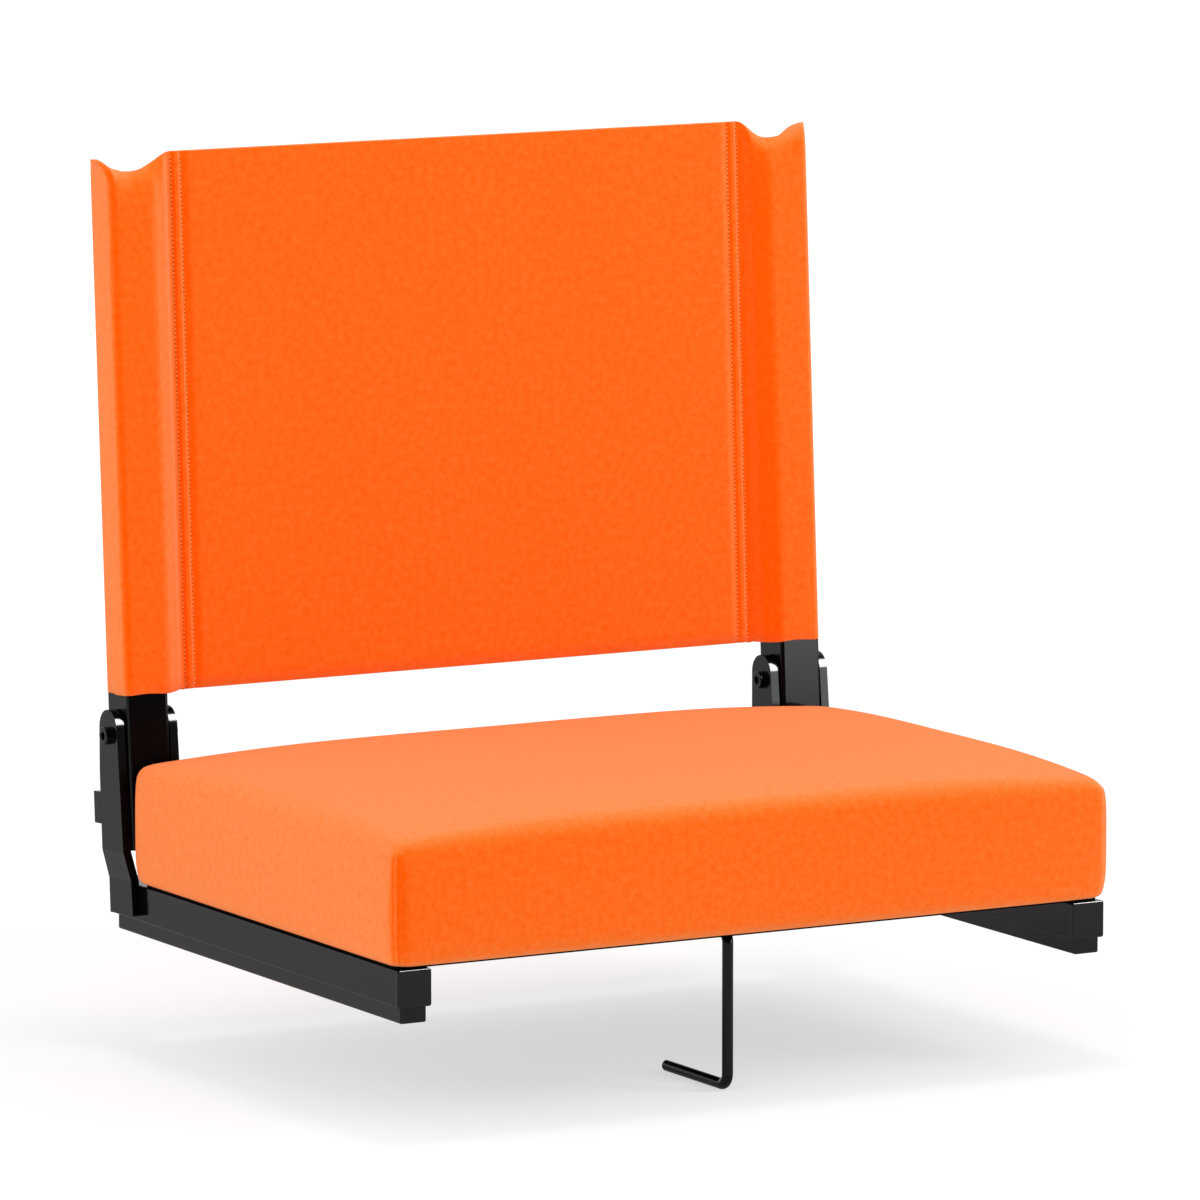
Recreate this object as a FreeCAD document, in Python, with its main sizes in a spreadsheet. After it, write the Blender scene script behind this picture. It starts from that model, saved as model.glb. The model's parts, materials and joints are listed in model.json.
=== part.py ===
import FreeCAD, Part
import math
import os
import re
import sys

import Sketcher

# Folding bleacher seat. Millimetres: X to the right as seen from the front, Y to the back, Z up.
# The origin is the middle of the bench plane: half way between the two rails and half way along them,
# level with the underside of the grip strips. The hook under the seat reaches below that plane.

# Driving sizes

SIZES = {
    # seat frame
    "seat_width": 432,
    "rail_length": 327,
    "rail_width": 20,
    "rail_height": 20,
    "rail_wall": 1.5,
    "rail_corner": 1.2,
    "plug_flange": 2,
    "plug_depth": 12,
    "plug_edge": 0.7,
    "plug_slack": 0.3,
    "strip_width": 15.2,
    "strip_height": 8.5,
    "strip_setback": 2.2,
    "strip_edge": 1,
    "peg_diameter": 6,
    "peg_length": 4.5,
    "peg_end": 28.5,
    # hinge at the back of each rail
    "pivot_height": 109,
    "pivot_setback": 10.5,
    "recline": 3.3,
    "plate_thick": 4.8,
    "plate_radius": 10.5,
    "plate_round_rise": 3.6,
    "plate_shoulder": 20,
    "plate_front": 15.4,
    "plate_drop": 98,
    "joggle_top": 63,
    "joggle_bottom": 79,
    "washer_thick": 1.2,
    "washer_diameter": 16,
    "barrel_diameter": 8,
    "barrel_recess": 1.5,
    "screw_diameter": 6,
    "screw_length": 20,
    "thread_slack": 0.05,
    "run_clearance": 0.05,
    "head_diameter": 9.8,
    "head_height": 3.3,
    "socket_width": 4.4,
    "socket_depth": 2,
    # backrest
    "post_size": 25,
    "post_wall": 1.5,
    "post_corner": 2,
    "post_offset": 0.5,
    "post_drop": 62.5,
    "post_rise": 291,
    "cap_thick": 2.5,
    "cap_depth": 12,
    "cap_slack": 0.1,
    "bush_diameter": 11,
    "bar_height": 17.5,
    "bar_depth": 8,
    "bar_drop": 40.5,
    "bar_edge": 0.8,
    "stop_gap": 0.1,
    "sling_bottom": 22.5,
    "sling_top": 316,
    "seam_offset": 30.5,
    "sling_gather": 3.5,
    "sling_clear": 0.3,
    "sling_dip": 10.5,
    "fabric": 0.8,
    # seat cushion
    "sheet_thick": 1.5,
    "sheet_inset": 1,
    "board_thick": 9,
    "board_corner": 12,
    "board_gap": 0.4,
    "cushion_setback": 3,
    "cushion_clear": 1,
    "cushion_inset": 0.5,
    "cushion_edge": 66,
    "cushion_rise": 4.7,
    "cushion_arch": 4.7,
    "cushion_bulge": 2,
    "cushion_corner": 3.5,
    "foam_gap": 0.3,
    "turn_in": 30,
    # fixings under the seat
    "board_screw_diameter": 4.5,
    "board_screw_length": 12,
    "board_screw_head": 9,
    "board_screw_end": 53.5,
    "hole_slack": 0.5,
    "access_hole": 11,
    "staple_width": 10,
    "staple_wire": 1.2,
    "staple_crown": 0.6,
    "staple_leg": 6,
    "staple_margin": 24,
    "staple_rail_gap": 20,
    # bench hook
    "hook_diameter": 6,
    "hook_setback": 32,
    "hook_drop": 57.8,
    "hook_reach": 65,
    "hook_axis_drop": 4.1,
    "hook_top_bend": 5,
    "hook_low_bend": 6.5,
    "hook_tail": 128,
    "hook_clearance": 0.05,
    "clip_length": 14,
    "clip_width": 34,
    "clip_ear": 4,
    "clip_wall": 3,
    "clip_front": 32,
    "clip_pitch": 70,
    "clip_screw_diameter": 3.5,
    "clip_screw_length": 13,
    "clip_screw_head": 7,
    "clip_screw_spacing": 24,
    "collar_diameter": 8,
    "collar_thick": 1.5,
    "collar_gap": 0.4,
}

# Sizes that follow from the driving ones

DERIVED = {
    "rail_x": "(seat_width - rail_width) / 2",
    "rail_top": "strip_height + rail_height",
    "rail_back": "rail_length / 2",
    "peg_pitch": "(rail_length - 2 * peg_end) / 3",
    "board_screw_pitch": "(rail_length - 2 * board_screw_end) / 2",
    "pivot_y": "rail_back - pivot_setback",
    "post_back": "post_size / 2 - post_offset",
    "post_front": "post_size / 2 + post_offset",
    "plate_low": "rail_width / 2",
    "plate_high": "post_size / 2 + washer_thick",
    "plate_rear": "post_back - stop_gap",
    "grip_span": "post_size + 2 * washer_thick + 2 * plate_thick",
    "bar_half": "rail_x + plate_high + plate_thick",
    "cover_low": "rail_top + sheet_thick",
    "board_low": "cover_low + fabric",
    "board_top": "board_low + board_thick",
    "cushion_front_y": "cushion_setback - rail_back",
    "plate_toe_y": "pivot_y - plate_front - plate_drop * sin(recline)",
    "cushion_back_y": "plate_toe_y - cushion_clear",
    "cushion_depth": "(cushion_back_y - cushion_front_y)",
    "cushion_mid_y": "(cushion_front_y + cushion_back_y) / 2",
    "cushion_half": "seat_width / 2 - cushion_inset",
    "board_half": "cushion_half - fabric - board_gap",
    "staple_reach_x": "seat_width / 2 - rail_width - staple_width - staple_rail_gap",
    "staple_reach_y": "cushion_depth / 2 - 2 * turn_in",
    "sling_half": "post_size / 2 + sling_clear + fabric",
    "sling_seam": "rail_x - seam_offset",
    "hook_y": "hook_setback - rail_back",
    "hook_z": "rail_top - hook_axis_drop",
    "hook_radius": "hook_diameter / 2",
}

doc = FreeCAD.newDocument("bleacher_seat")
sheet = doc.addObject("Spreadsheet::Sheet", "Sizes")
for row, (alias, size) in enumerate(SIZES.items(), start=1):
    sheet.set(f"A{row}", alias)
    sheet.set(f"B{row}", str(size))
    sheet.setAlias(f"B{row}", alias)
doc.recompute()

PIECES = []


# Expressions: plain words become cells of the sheet, derived words are written out in full


def bound(text):
    """The expression with every size's name turned into its cell."""

    def swap(match):
        word = match.group(0)
        if word in SIZES:
            return f"Sizes.{word}"
        if word in DERIVED:
            return f"({bound(DERIVED[word])})"
        return word

    return re.sub(r"[a-z][a-z_]+", swap, str(text))


def number(text):
    """The value of an expression now."""
    return float(sheet.evalExpression(bound(text)))


def bind(item, **sizes):
    """Tie properties to expressions; two underscores in a name stand for a dot."""
    for name, text in sizes.items():
        item.setExpression(name.replace("__", "."), bound(text))


def place(item, x="0", y="0", z="0"):
    bind(item, Placement__Base__x=x, Placement__Base__y=y, Placement__Base__z=z)
    return item


def lean(item):
    """Set a piece that is drawn about the pivot axis at the pivot, tilted back by the recline."""
    item.Placement = FreeCAD.Placement(FreeCAD.Vector(), FreeCAD.Rotation(FreeCAD.Vector(1, 0, 0), -1))
    bind(item, Placement__Rotation__Angle="-recline")
    return place(item, "0", "pivot_y", "pivot_height")


def piece(item, label):
    """Keep an object as a sub-part under its own name."""
    item.Label = label
    PIECES.append(item)
    return item


# Primitives and booleans


def box(x, y, z):
    """A block between low and high expressions on each axis."""
    item = doc.addObject("Part::Box", "Block")
    low = [pair[0] for pair in (x, y, z)]
    spans = [f"({pair[1]}) - ({pair[0]})" for pair in (x, y, z)]
    bind(item, Length=spans[0], Width=spans[1], Height=spans[2])
    return place(item, *low)


TURNS = {
    "x": FreeCAD.Rotation(FreeCAD.Vector(0, 1, 0), 90),
    "y": FreeCAD.Rotation(FreeCAD.Vector(1, 0, 0), -90),
    "z": FreeCAD.Rotation(),
}


def cylinder(axis, radius, start, length):
    """A cylinder that runs from a start point along one axis."""
    item = doc.addObject("Part::Cylinder", "Round")
    item.Placement = FreeCAD.Placement(FreeCAD.Vector(), TURNS[axis])
    bind(item, Radius=radius, Height=length)
    return place(item, *start)


def fuse(*items):
    item = doc.addObject("Part::MultiFuse", "Fused")
    item.Shapes = list(items)
    return item


def cut(base, *tools):
    item = doc.addObject("Part::Cut", "Cut")
    item.Base = base
    item.Tool = tools[0] if len(tools) == 1 else fuse(*tools)
    return item


def common(first, second):
    item = doc.addObject("Part::Common", "Shared")
    item.Base = first
    item.Tool = second
    return item


def group(*items):
    item = doc.addObject("Part::Compound", "Group")
    item.Links = list(items)
    return item


# Sketched bodies


def middle_of_arc(start, end, radius, side):
    """The point half way along an arc of under a half circle; side 1 bulges to the left of the run."""
    run = FreeCAD.Vector(end[0] - start[0], end[1] - start[1], 0)
    left = FreeCAD.Vector(-run.y, run.x, 0).normalize()
    sagitta = radius - math.sqrt(max(radius**2 - (run.Length / 2) ** 2, 0))
    return FreeCAD.Vector(start[0], start[1], 0) + run * 0.5 + left * (side * sagitta)


def loop(sketch, points, closed=True):
    """Draw a chain of lines and arcs whose corners are tied to the sheet.

    Each point is (x, y) before a line, or (x, y, radius, side) before an arc.
    """
    places = [(number(point[0]), number(point[1])) for point in points]
    count = len(points) if closed else len(points) - 1
    first = sketch.GeometryCount
    for index in range(count):
        start = FreeCAD.Vector(*places[index], 0)
        end = FreeCAD.Vector(*places[(index + 1) % len(points)], 0)
        if len(points[index]) == 2:
            sketch.addGeometry(Part.LineSegment(start, end), False)
            continue
        radius, side = points[index][2:]
        middle = middle_of_arc(start, end, number(radius), side)
        sketch.addGeometry(Part.Arc(start, middle, end), False)
    for index in range(count):
        here = first + index
        after = first + (index + 1) % count
        start_pos = start_of(sketch, here, places[index])
        tie(sketch, here, start_pos, points[index])
        if closed or index < count - 1:
            end_pos = 3 - start_pos
            next_pos = start_of(sketch, after, places[(index + 1) % len(points)])
            sketch.addConstraint(Sketcher.Constraint("Coincident", here, end_pos, after, next_pos))
        else:
            tie(sketch, here, 3 - start_pos, points[-1])
        if len(points[index]) > 2:
            made = sketch.addConstraint(Sketcher.Constraint("Radius", here, number(points[index][2])))
            sketch.setExpression(f"Constraints[{made}]", bound(points[index][2]))


def start_of(sketch, index, spot):
    """Which end of a drawn edge, 1 or 2, lies at a spot; an arc may be stored the other way round."""
    ends = [sketch.getPoint(index, end) for end in (1, 2)]
    gaps = [math.hypot(end.x - spot[0], end.y - spot[1]) for end in ends]
    return 1 + gaps.index(min(gaps))


def tie(sketch, index, end, point):
    """Bind one end of a drawn edge to its two expressions."""
    for kind, text in (("DistanceX", point[0]), ("DistanceY", point[1])):
        made = sketch.addConstraint(Sketcher.Constraint(kind, -1, 1, index, end, number(text)))
        sketch.setExpression(f"Constraints[{made}]", bound(text))


def sketch_on(body, plane):
    """A sketch on one of the body's own origin planes."""
    sketch = body.newObject("Sketcher::SketchObject", "Outline")
    origin = next(item for item in body.Origin.OriginFeatures if item.Role == plane)
    sketch.AttachmentSupport = [(origin, "")]
    sketch.MapMode = "FlatFace"
    return sketch


def padded(plane, loops, length, middle=False, back=False):
    """A body of one outline, with any inner loops, carried along the plane's normal."""
    body = doc.addObject("PartDesign::Body", "Body")
    sketch = sketch_on(body, plane)
    for points in loops:
        loop(sketch, points)
    pad = body.newObject("PartDesign::Pad", "Pad")
    pad.Profile = sketch
    pad.Midplane = middle
    pad.Reversed = back
    bind(pad, Length=length)
    doc.recompute()
    return body


def rounded_face(body, y, radius):
    """Round the rim of the body's flat face at one depth."""
    faces = body.Tip.Shape.Faces
    index = min(range(len(faces)), key=lambda which: abs(faces[which].CenterOfMass.y - y))
    fillet = body.newObject("PartDesign::Fillet", "Rounded")
    fillet.Base = (body.Group[-2], [f"Face{index + 1}"])
    bind(fillet, Radius=radius)
    doc.recompute()
    return body


def rounded_rectangle(x, y, radius):
    """Corner points of a rectangle with quarter-round corners, for loop()."""
    x0, x1 = (f"({text})" for text in x)
    y0, y1 = (f"({text})" for text in y)
    r = f"({radius})"
    return [
        (f"{x0} + {r}", y0),
        (f"{x1} - {r}", y0, r, -1),
        (x1, f"{y0} + {r}"),
        (x1, f"{y1} - {r}", r, -1),
        (f"{x1} - {r}", y1),
        (f"{x0} + {r}", y1, r, -1),
        (x0, f"{y1} - {r}"),
        (x0, f"{y0} + {r}", r, -1),
    ]


def mirrored(low, high, side):
    """A pair of expressions on the +X side, or its mirror on the -X side."""
    return (low, high) if side > 0 else (f"-({high})", f"-({low})")


SIDES = {"left": -1, "right": 1}


# Rails: square tubes from front to back, drilled for the strips' pegs and for the seat board's screws

PEG_STEPS = (-1.5, -0.5, 0.5, 1.5)
BOARD_SCREW_STEPS = (-1, 0, 1)


def rail_section(side, wall, corner):
    """The rail's outline, drawn in by a wall's thickness, across X and Z."""
    x = mirrored(f"rail_x - rail_width / 2 + ({wall})", f"rail_x + rail_width / 2 - ({wall})", side)
    z = (f"strip_height + ({wall})", f"rail_top - ({wall})")
    return rounded_rectangle(x, z, corner)


def board_screw_spots(side):
    return [(f"{side} * rail_x", f"{step} * board_screw_pitch") for step in BOARD_SCREW_STEPS]


def make_rail(name, side):
    outer = rail_section(side, "0", "rail_corner")
    inner = rail_section(side, "rail_wall", "rail_corner / 2")
    tube = padded("XZ_Plane", [outer, inner], "rail_length - 2 * plug_flange", middle=True)
    holes = []
    for x, y in board_screw_spots(side):
        over = "rail_top - rail_wall - 1"
        under = "strip_height - 1"
        wide = "rail_wall + 2"
        holes.append(cylinder("z", "(board_screw_diameter + hole_slack) / 2", (x, y, over), wide))
        holes.append(cylinder("z", "access_hole / 2", (x, y, under), wide))
    for step in PEG_STEPS:
        spot = (f"{side} * rail_x", f"{step} * peg_pitch", "strip_height - 1")
        holes.append(cylinder("z", "peg_diameter / 2", spot, "rail_wall + 2"))
    return piece(cut(tube, *holes), f"rail_{name}")


def make_plug(side, end):
    """One end plug: a flange as wide as the tube, and a stub inside it. end is -1 at the front."""
    flange = padded("XZ_Plane", [rail_section(side, "0", "rail_corner")], "plug_flange", back=True)
    rounded_face(flange, 0 if end < 0 else number("plug_flange"), "plug_edge")
    face = "-rail_length / 2" if end < 0 else "rail_length / 2 - plug_flange"
    place(flange, "0", face, "0")
    slack = "(rail_wall + plug_slack)"
    inside = mirrored(f"rail_x - rail_width / 2 + {slack}", f"rail_x + rail_width / 2 - {slack}", side)
    low = "rail_back - plug_flange - plug_depth"
    high = "rail_back - plug_flange"
    stub = box(inside, mirrored(low, high, end), (f"strip_height + {slack}", f"rail_top - {slack}"))
    return fuse(flange, stub)


def make_strip(name, side):
    """A rubber grip strip with rounded lower edges and pegs that press into the rail."""
    x0, x1 = mirrored("rail_x - strip_width / 2", "rail_x + strip_width / 2", side)
    outline = [
        (f"{x0} + strip_edge", "0"),
        (f"{x1} - strip_edge", "0", "strip_edge", -1),
        (x1, "strip_edge"),
        (x1, "strip_height"),
        (x0, "strip_height"),
        (x0, "strip_edge", "strip_edge", -1),
    ]
    strip = padded("XZ_Plane", [outline], "rail_length - strip_setback", back=True)
    place(strip, "0", "strip_setback - rail_back", "0")
    pegs = []
    for step in PEG_STEPS:
        spot = (f"{side} * rail_x", f"{step} * peg_pitch", "strip_height - 1")
        pegs.append(cylinder("z", "peg_diameter / 2", spot, "peg_length + 1"))
    return piece(fuse(strip, *pegs), f"grip_strip_{name}")


for name, side in SIDES.items():
    make_rail(name, side)
    make_strip(name, side)
piece(group(*[make_plug(side, end) for side in SIDES.values() for end in (-1, 1)]), "rail_end_plugs")


# Hinge plates: tapered steel plates, stepped outwards above the rail so that the post fits between a pair.
# They, the pivot fittings and the backrest are drawn about the pivot axis and then tilted back.


def make_plate(name, side, outward):
    """One plate of a pair; outward is 1 for the plate on the rail's outer face."""
    outline = [
        ("plate_rear", "-plate_drop"),
        ("plate_rear", "-plate_shoulder"),
        ("plate_radius", "plate_round_rise", "plate_radius", -1),
        ("0", "plate_round_rise + plate_radius", "plate_radius", -1),
        ("-plate_radius", "plate_round_rise"),
        ("-plate_front", "-plate_drop"),
    ]
    flat = padded("YZ_Plane", [outline], "2 * seat_width", middle=True)
    centre = f"{side} * rail_x"
    reach = side * outward
    top = "plate_round_rise + 2 * plate_radius"

    def across(text):
        return f"{centre} + {reach} * ({text})"

    profile = [
        (across("plate_low"), "-2 * plate_drop"),
        (across("plate_low + plate_thick"), "-2 * plate_drop"),
        (across("plate_low + plate_thick"), "-joggle_bottom"),
        (across("plate_high + plate_thick"), "-joggle_top"),
        (across("plate_high + plate_thick"), top),
        (across("plate_high"), top),
        (across("plate_high"), "-joggle_top"),
        (across("plate_low"), "-joggle_bottom"),
    ]
    stepped = padded("XZ_Plane", [profile], "4 * plate_front", middle=True)
    spot = (f"{centre} - grip_span", "0", "0")
    bore = cylinder("x", "barrel_diameter / 2 + run_clearance", spot, "2 * grip_span")
    return lean(piece(cut(common(stepped, flat), bore), f"hinge_plate_{name}"))


for name, side in SIDES.items():
    make_plate(f"{name}_outer", side, 1)
    make_plate(f"{name}_inner", side, -1)


# Pivot fittings: a barrel nut from the outside and a screw from the inside, with washers beside the post


def button_head(x, reach):
    """A flat-faced head that stands out from x in the direction of reach, with a hex socket in its face."""
    rim = "head_diameter / 2"
    round_over = "head_height * 0.2"
    face = f"{rim} - {round_over}"
    outline = [
        ("0", "0"),
        (rim, "0"),
        (rim, f"head_height - {round_over}", round_over, -1),
        (face, "head_height"),
        ("0", "head_height"),
    ]
    body = doc.addObject("PartDesign::Body", "Body")
    sketch = sketch_on(body, "XZ_Plane")
    loop(sketch, outline)
    turned = body.newObject("PartDesign::Revolution", "Turned")
    turned.Profile = sketch
    turned.ReferenceAxis = (sketch, ["V_Axis"])
    turned.Angle = 360
    doc.recompute()
    socket = doc.addObject("Part::Prism", "Socket")
    socket.Polygon = 6
    bind(socket, Circumradius="socket_width / sqrt(3)", Height="socket_depth + 1")
    place(socket, "0", "0", "head_height - socket_depth")
    head = cut(body, socket)
    turn = 90 if reach > 0 else -90
    head.Placement = FreeCAD.Placement(FreeCAD.Vector(), FreeCAD.Rotation(FreeCAD.Vector(0, 1, 0), turn))
    return place(head, x)


def from_face(side, reach, depth):
    """An X expression: depth inwards from the outer face of the plate that lies in the direction of reach."""
    return f"{side} * rail_x + {reach} * (plate_high + plate_thick - ({depth}))"


def run_between(axis_radius, start, end):
    """A cylinder along X between two expressions, whichever is the lower."""
    low, high = (start, end) if number(start) < number(end) else (end, start)
    return cylinder("x", axis_radius, (low, "0", "0"), f"({high}) - ({low})")


barrels = []
screws = []
washers = []
for side in SIDES.values():
    outer = from_face(side, side, "0")
    inner_end = from_face(side, side, "grip_span - barrel_recess")
    shank = run_between("barrel_diameter / 2", outer, inner_end)
    thread = run_between("screw_diameter / 2", from_face(side, side, "grip_span - screw_length - 2"), inner_end)
    barrels.append(cut(fuse(shank, button_head(outer, side)), thread))
    inner = from_face(side, -side, "0")
    tip = from_face(side, -side, "screw_length")
    screw_shank = run_between("screw_diameter / 2 - thread_slack", inner, tip)
    screws.append(fuse(screw_shank, button_head(inner, -side)))
    for reach in (-1, 1):
        near = f"{side} * rail_x + {reach} * post_size / 2"
        far = f"{near} + {reach} * washer_thick"
        disc = run_between("washer_diameter / 2", near, far)
        hole = run_between("barrel_diameter / 2 + run_clearance", near, far)
        washers.append(cut(disc, hole))
lean(piece(group(*barrels), "pivot_barrels"))
lean(piece(group(*screws), "pivot_screws"))
lean(piece(group(*washers), "pivot_washers"))


# Backrest posts, their caps and bushes, and the stop bar across their rear faces


def post_section(side, wall, corner):
    """The post's outline across X and Y, drawn in by a wall's thickness."""
    x = mirrored(f"rail_x - post_size / 2 + ({wall})", f"rail_x + post_size / 2 - ({wall})", side)
    y = (f"-post_front + ({wall})", f"post_back - ({wall})")
    return rounded_rectangle(x, y, corner)


def make_post(name, side):
    loops = [post_section(side, "0", "post_corner"), post_section(side, "post_wall", "post_corner / 2")]
    tube = padded("XY_Plane", loops, "post_drop + post_rise - 2 * cap_thick")
    place(tube, "0", "0", "cap_thick - post_drop")
    spot = (f"{side} * rail_x - post_size", "0", "0")
    bore = cylinder("x", "bush_diameter / 2", spot, "2 * post_size")
    return lean(piece(cut(tube, bore), f"post_{name}"))


def make_cap(side, end):
    """A post cap: a flange as wide as the post and a stub inside it. end is -1 at the lower end."""
    low, high = ("-post_drop", "cap_thick - post_drop") if end < 0 else ("post_rise - cap_thick", "post_rise")
    flange = padded("XY_Plane", [post_section(side, "0", "post_corner")], "cap_thick")
    place(flange, "0", "0", low)
    inner = post_section(side, "post_wall + cap_slack", "post_corner / 2")
    stub = padded("XY_Plane", [inner], "cap_depth")
    place(stub, "0", "0", high if end < 0 else f"{low} - cap_depth")
    return fuse(flange, stub)


bushes = []
for name, side in SIDES.items():
    make_post(name, side)
    spot = (f"{side} * rail_x - post_size / 2", "0", "0")
    sleeve = cylinder("x", "bush_diameter / 2", spot, "post_size")
    bushes.append(cut(sleeve, cylinder("x", "barrel_diameter / 2 + run_clearance", spot, "post_size")))
lean(piece(group(*bushes), "pivot_bushes"))
lean(piece(group(*[make_cap(side, 1) for side in SIDES.values()]), "post_top_caps"))
lean(piece(group(*[make_cap(side, -1) for side in SIDES.values()]), "post_bottom_caps"))

bar_outline = rounded_rectangle(
    ("post_back", "post_back + bar_depth"),
    ("-bar_drop - bar_height / 2", "-bar_drop + bar_height / 2"),
    "bar_edge",
)
lean(piece(padded("YZ_Plane", [bar_outline], "2 * bar_half", middle=True), "stop_bar"))


# Back sling: two layers of cloth, sewn together beside each post so that they make a sleeve round it.
# The top of each sleeve is closed, and dips between its outer tip and the seam; its foot is open.


def sleeve_loop(side, out, root):
    """Section of one sleeve: a box round the post that tapers to the seam; out is the box's half width."""
    return [
        (f"{side} * ({root})", "-post_offset"),
        (f"{side} * (rail_x - ({out}))", f"-post_offset - ({out})"),
        (f"{side} * (rail_x + ({out}))", f"-post_offset - ({out})"),
        (f"{side} * (rail_x + ({out}))", f"-post_offset + ({out})"),
        (f"{side} * (rail_x - ({out}))", f"-post_offset + ({out})"),
    ]


def make_sling():
    right = sleeve_loop(1, "sling_half", "sling_seam + sling_gather")
    left = sleeve_loop(-1, "sling_half", "sling_seam + sling_gather")
    front = "-post_offset - fabric"
    back = "-post_offset + fabric"
    outline = [(right[0][0], front), *right[1:], (right[0][0], back)]
    outline += [(left[0][0], back), *reversed(left[1:]), (left[0][0], front)]
    blank = padded("XY_Plane", [outline], "sling_top - sling_bottom")
    place(blank, "0", "0", "sling_bottom")
    near = "sling_seam + 2 * sling_gather"
    far = "rail_x + sling_half"
    half_chord = f"(({far}) - ({near})) / 2"
    radius = f"(({half_chord})^2 + sling_dip^2) / (2 * sling_dip)"
    middle = f"(({far}) + ({near})) / 2"
    inner_root = "sling_seam + sling_gather + 2 * fabric"
    tools = []
    for side in SIDES.values():
        spot = (f"{side} * ({middle})", "-2 * post_size", f"sling_top - sling_dip + {radius}")
        tools.append(cylinder("y", radius, spot, "4 * post_size"))
        section = sleeve_loop(side, "sling_half - fabric", inner_root)
        hollow = padded("XY_Plane", [section], "sling_top - sling_bottom - fabric")
        place(hollow, "0", "0", "sling_bottom - fabric")
        lid = cylinder("y", f"{radius} + fabric", spot, "4 * post_size")
        tools.append(cut(hollow, lid))
    return lean(piece(cut(blank, *tools), "back_sling"))


make_sling()


# Seat cushion: a crowned block of foam on a board, in a fabric cover that turns in under the board

# Rows of the cushion's sides: height as a share of the edge's, how far the side is drawn in, counted in
# bulges (minus is outwards), and the corner radius, counted in corners.
SIDE_ROWS = (
    (0.0, 0.0, 1.0),
    (0.2, -1.0, 1.0),
    (0.5, -1.5, 1.1),
    (0.8, -0.9, 1.2),
    (1.0, 0.5, 1.4),
    (1.16, 3.0, 1.8),
    (1.32, 7.0, 2.4),
)
# Stations of the crown from front to back, as shares of half the cushion's depth.
CROWN_ROWS = (-1.1, -0.55, 0.0, 0.55, 1.1)


def free_sketch(points, rotation=FreeCAD.Rotation()):
    """A sketch of one closed loop that stands on its own, turned about the origin."""
    sketch = doc.addObject("Sketcher::SketchObject", "Section")
    sketch.Placement = FreeCAD.Placement(FreeCAD.Vector(), rotation)
    loop(sketch, points)
    return sketch


def loft(sections):
    item = doc.addObject("Part::Loft", "Lofted")
    item.Sections = sections
    item.Solid = True
    item.Ruled = False
    return item


def cushion_form(inset):
    """The cushion's outside, drawn in by an inset: bulging sides cut off by a crowned top."""
    sides = []
    for share, drawn_in, corner in SIDE_ROWS:
        gap = f"{drawn_in} * cushion_bulge + ({inset})"
        half = f"(cushion_half - ({gap}))"
        y = (f"cushion_front_y + {gap}", f"cushion_back_y - ({gap})")
        section = free_sketch(rounded_rectangle((f"-{half}", half), y, f"{corner} * cushion_corner"))
        lift = f"({inset})" if share == 0 else "0"
        sides.append(place(section, "0", "0", f"cover_low + {share} * cushion_edge + {lift}"))
    crowns = []
    upright = FreeCAD.Rotation(FreeCAD.Vector(1, 0, 0), 90)
    wide = "(cushion_half * 1.1)"
    arch = "(cushion_arch * 1.21)"
    for share in CROWN_ROWS:
        rise = f"cushion_rise * {round(1 - share**2, 4)}"
        side = f"cover_low + cushion_edge + {rise} - 0.21 * cushion_arch - ({inset})"
        outline = [
            (f"-{wide}", "cover_low - 5"),
            (wide, "cover_low - 5"),
            (wide, side, f"({wide}^2 + {arch}^2) / (2 * {arch})", -1),
            (f"-{wide}", side),
        ]
        section = free_sketch(outline, upright)
        crowns.append(place(section, "0", f"cushion_mid_y + {share} * cushion_depth / 2", "0"))
    return common(loft(sides), loft(crowns))


def rectangle_plate(half_x, y, z, corner):
    """A flat plate with round corners, between two heights."""
    outline = rounded_rectangle((f"-({half_x})", half_x), y, corner)
    plate = padded("XY_Plane", [outline], f"({z[1]}) - ({z[0]})")
    return place(plate, "0", "0", z[0])


def make_board_screws():
    """Screws that stand inside the rails, under the rail's upper wall, and reach up into the board."""
    items = []
    for side in SIDES.values():
        for x, y in board_screw_spots(side):
            seat = "rail_top - rail_wall"
            shank = cylinder("z", "board_screw_diameter / 2", (x, y, seat), "board_screw_length")
            low = f"{seat} - board_screw_diameter / 2"
            head = cylinder("z", "board_screw_head / 2", (x, y, low), "board_screw_diameter / 2")
            items.append(fuse(shank, head))
    return piece(group(*items), "board_screws")


CLIP_STEPS = (0, 1)


def clip_y(step):
    return f"hook_y + clip_front + {step} * clip_pitch"


def make_clip_screws():
    items = []
    for step in CLIP_STEPS:
        for side in SIDES.values():
            x = f"{side} * clip_screw_spacing / 2"
            y = f"{clip_y(step)} + clip_length / 2"
            seat = "rail_top - clip_ear"
            deep = "clip_screw_diameter * 0.7"
            shank = cylinder("z", "clip_screw_diameter / 2", (x, y, seat), "clip_screw_length")
            head = cylinder("z", "clip_screw_head / 2", (x, y, f"{seat} - {deep}"), deep)
            items.append(fuse(shank, head))
    return piece(group(*items), "clip_screws")


FRONT_STAPLES = (-1, -0.5, 0.5, 1)
SIDE_STAPLES = (-1, 0, 1)


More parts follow.
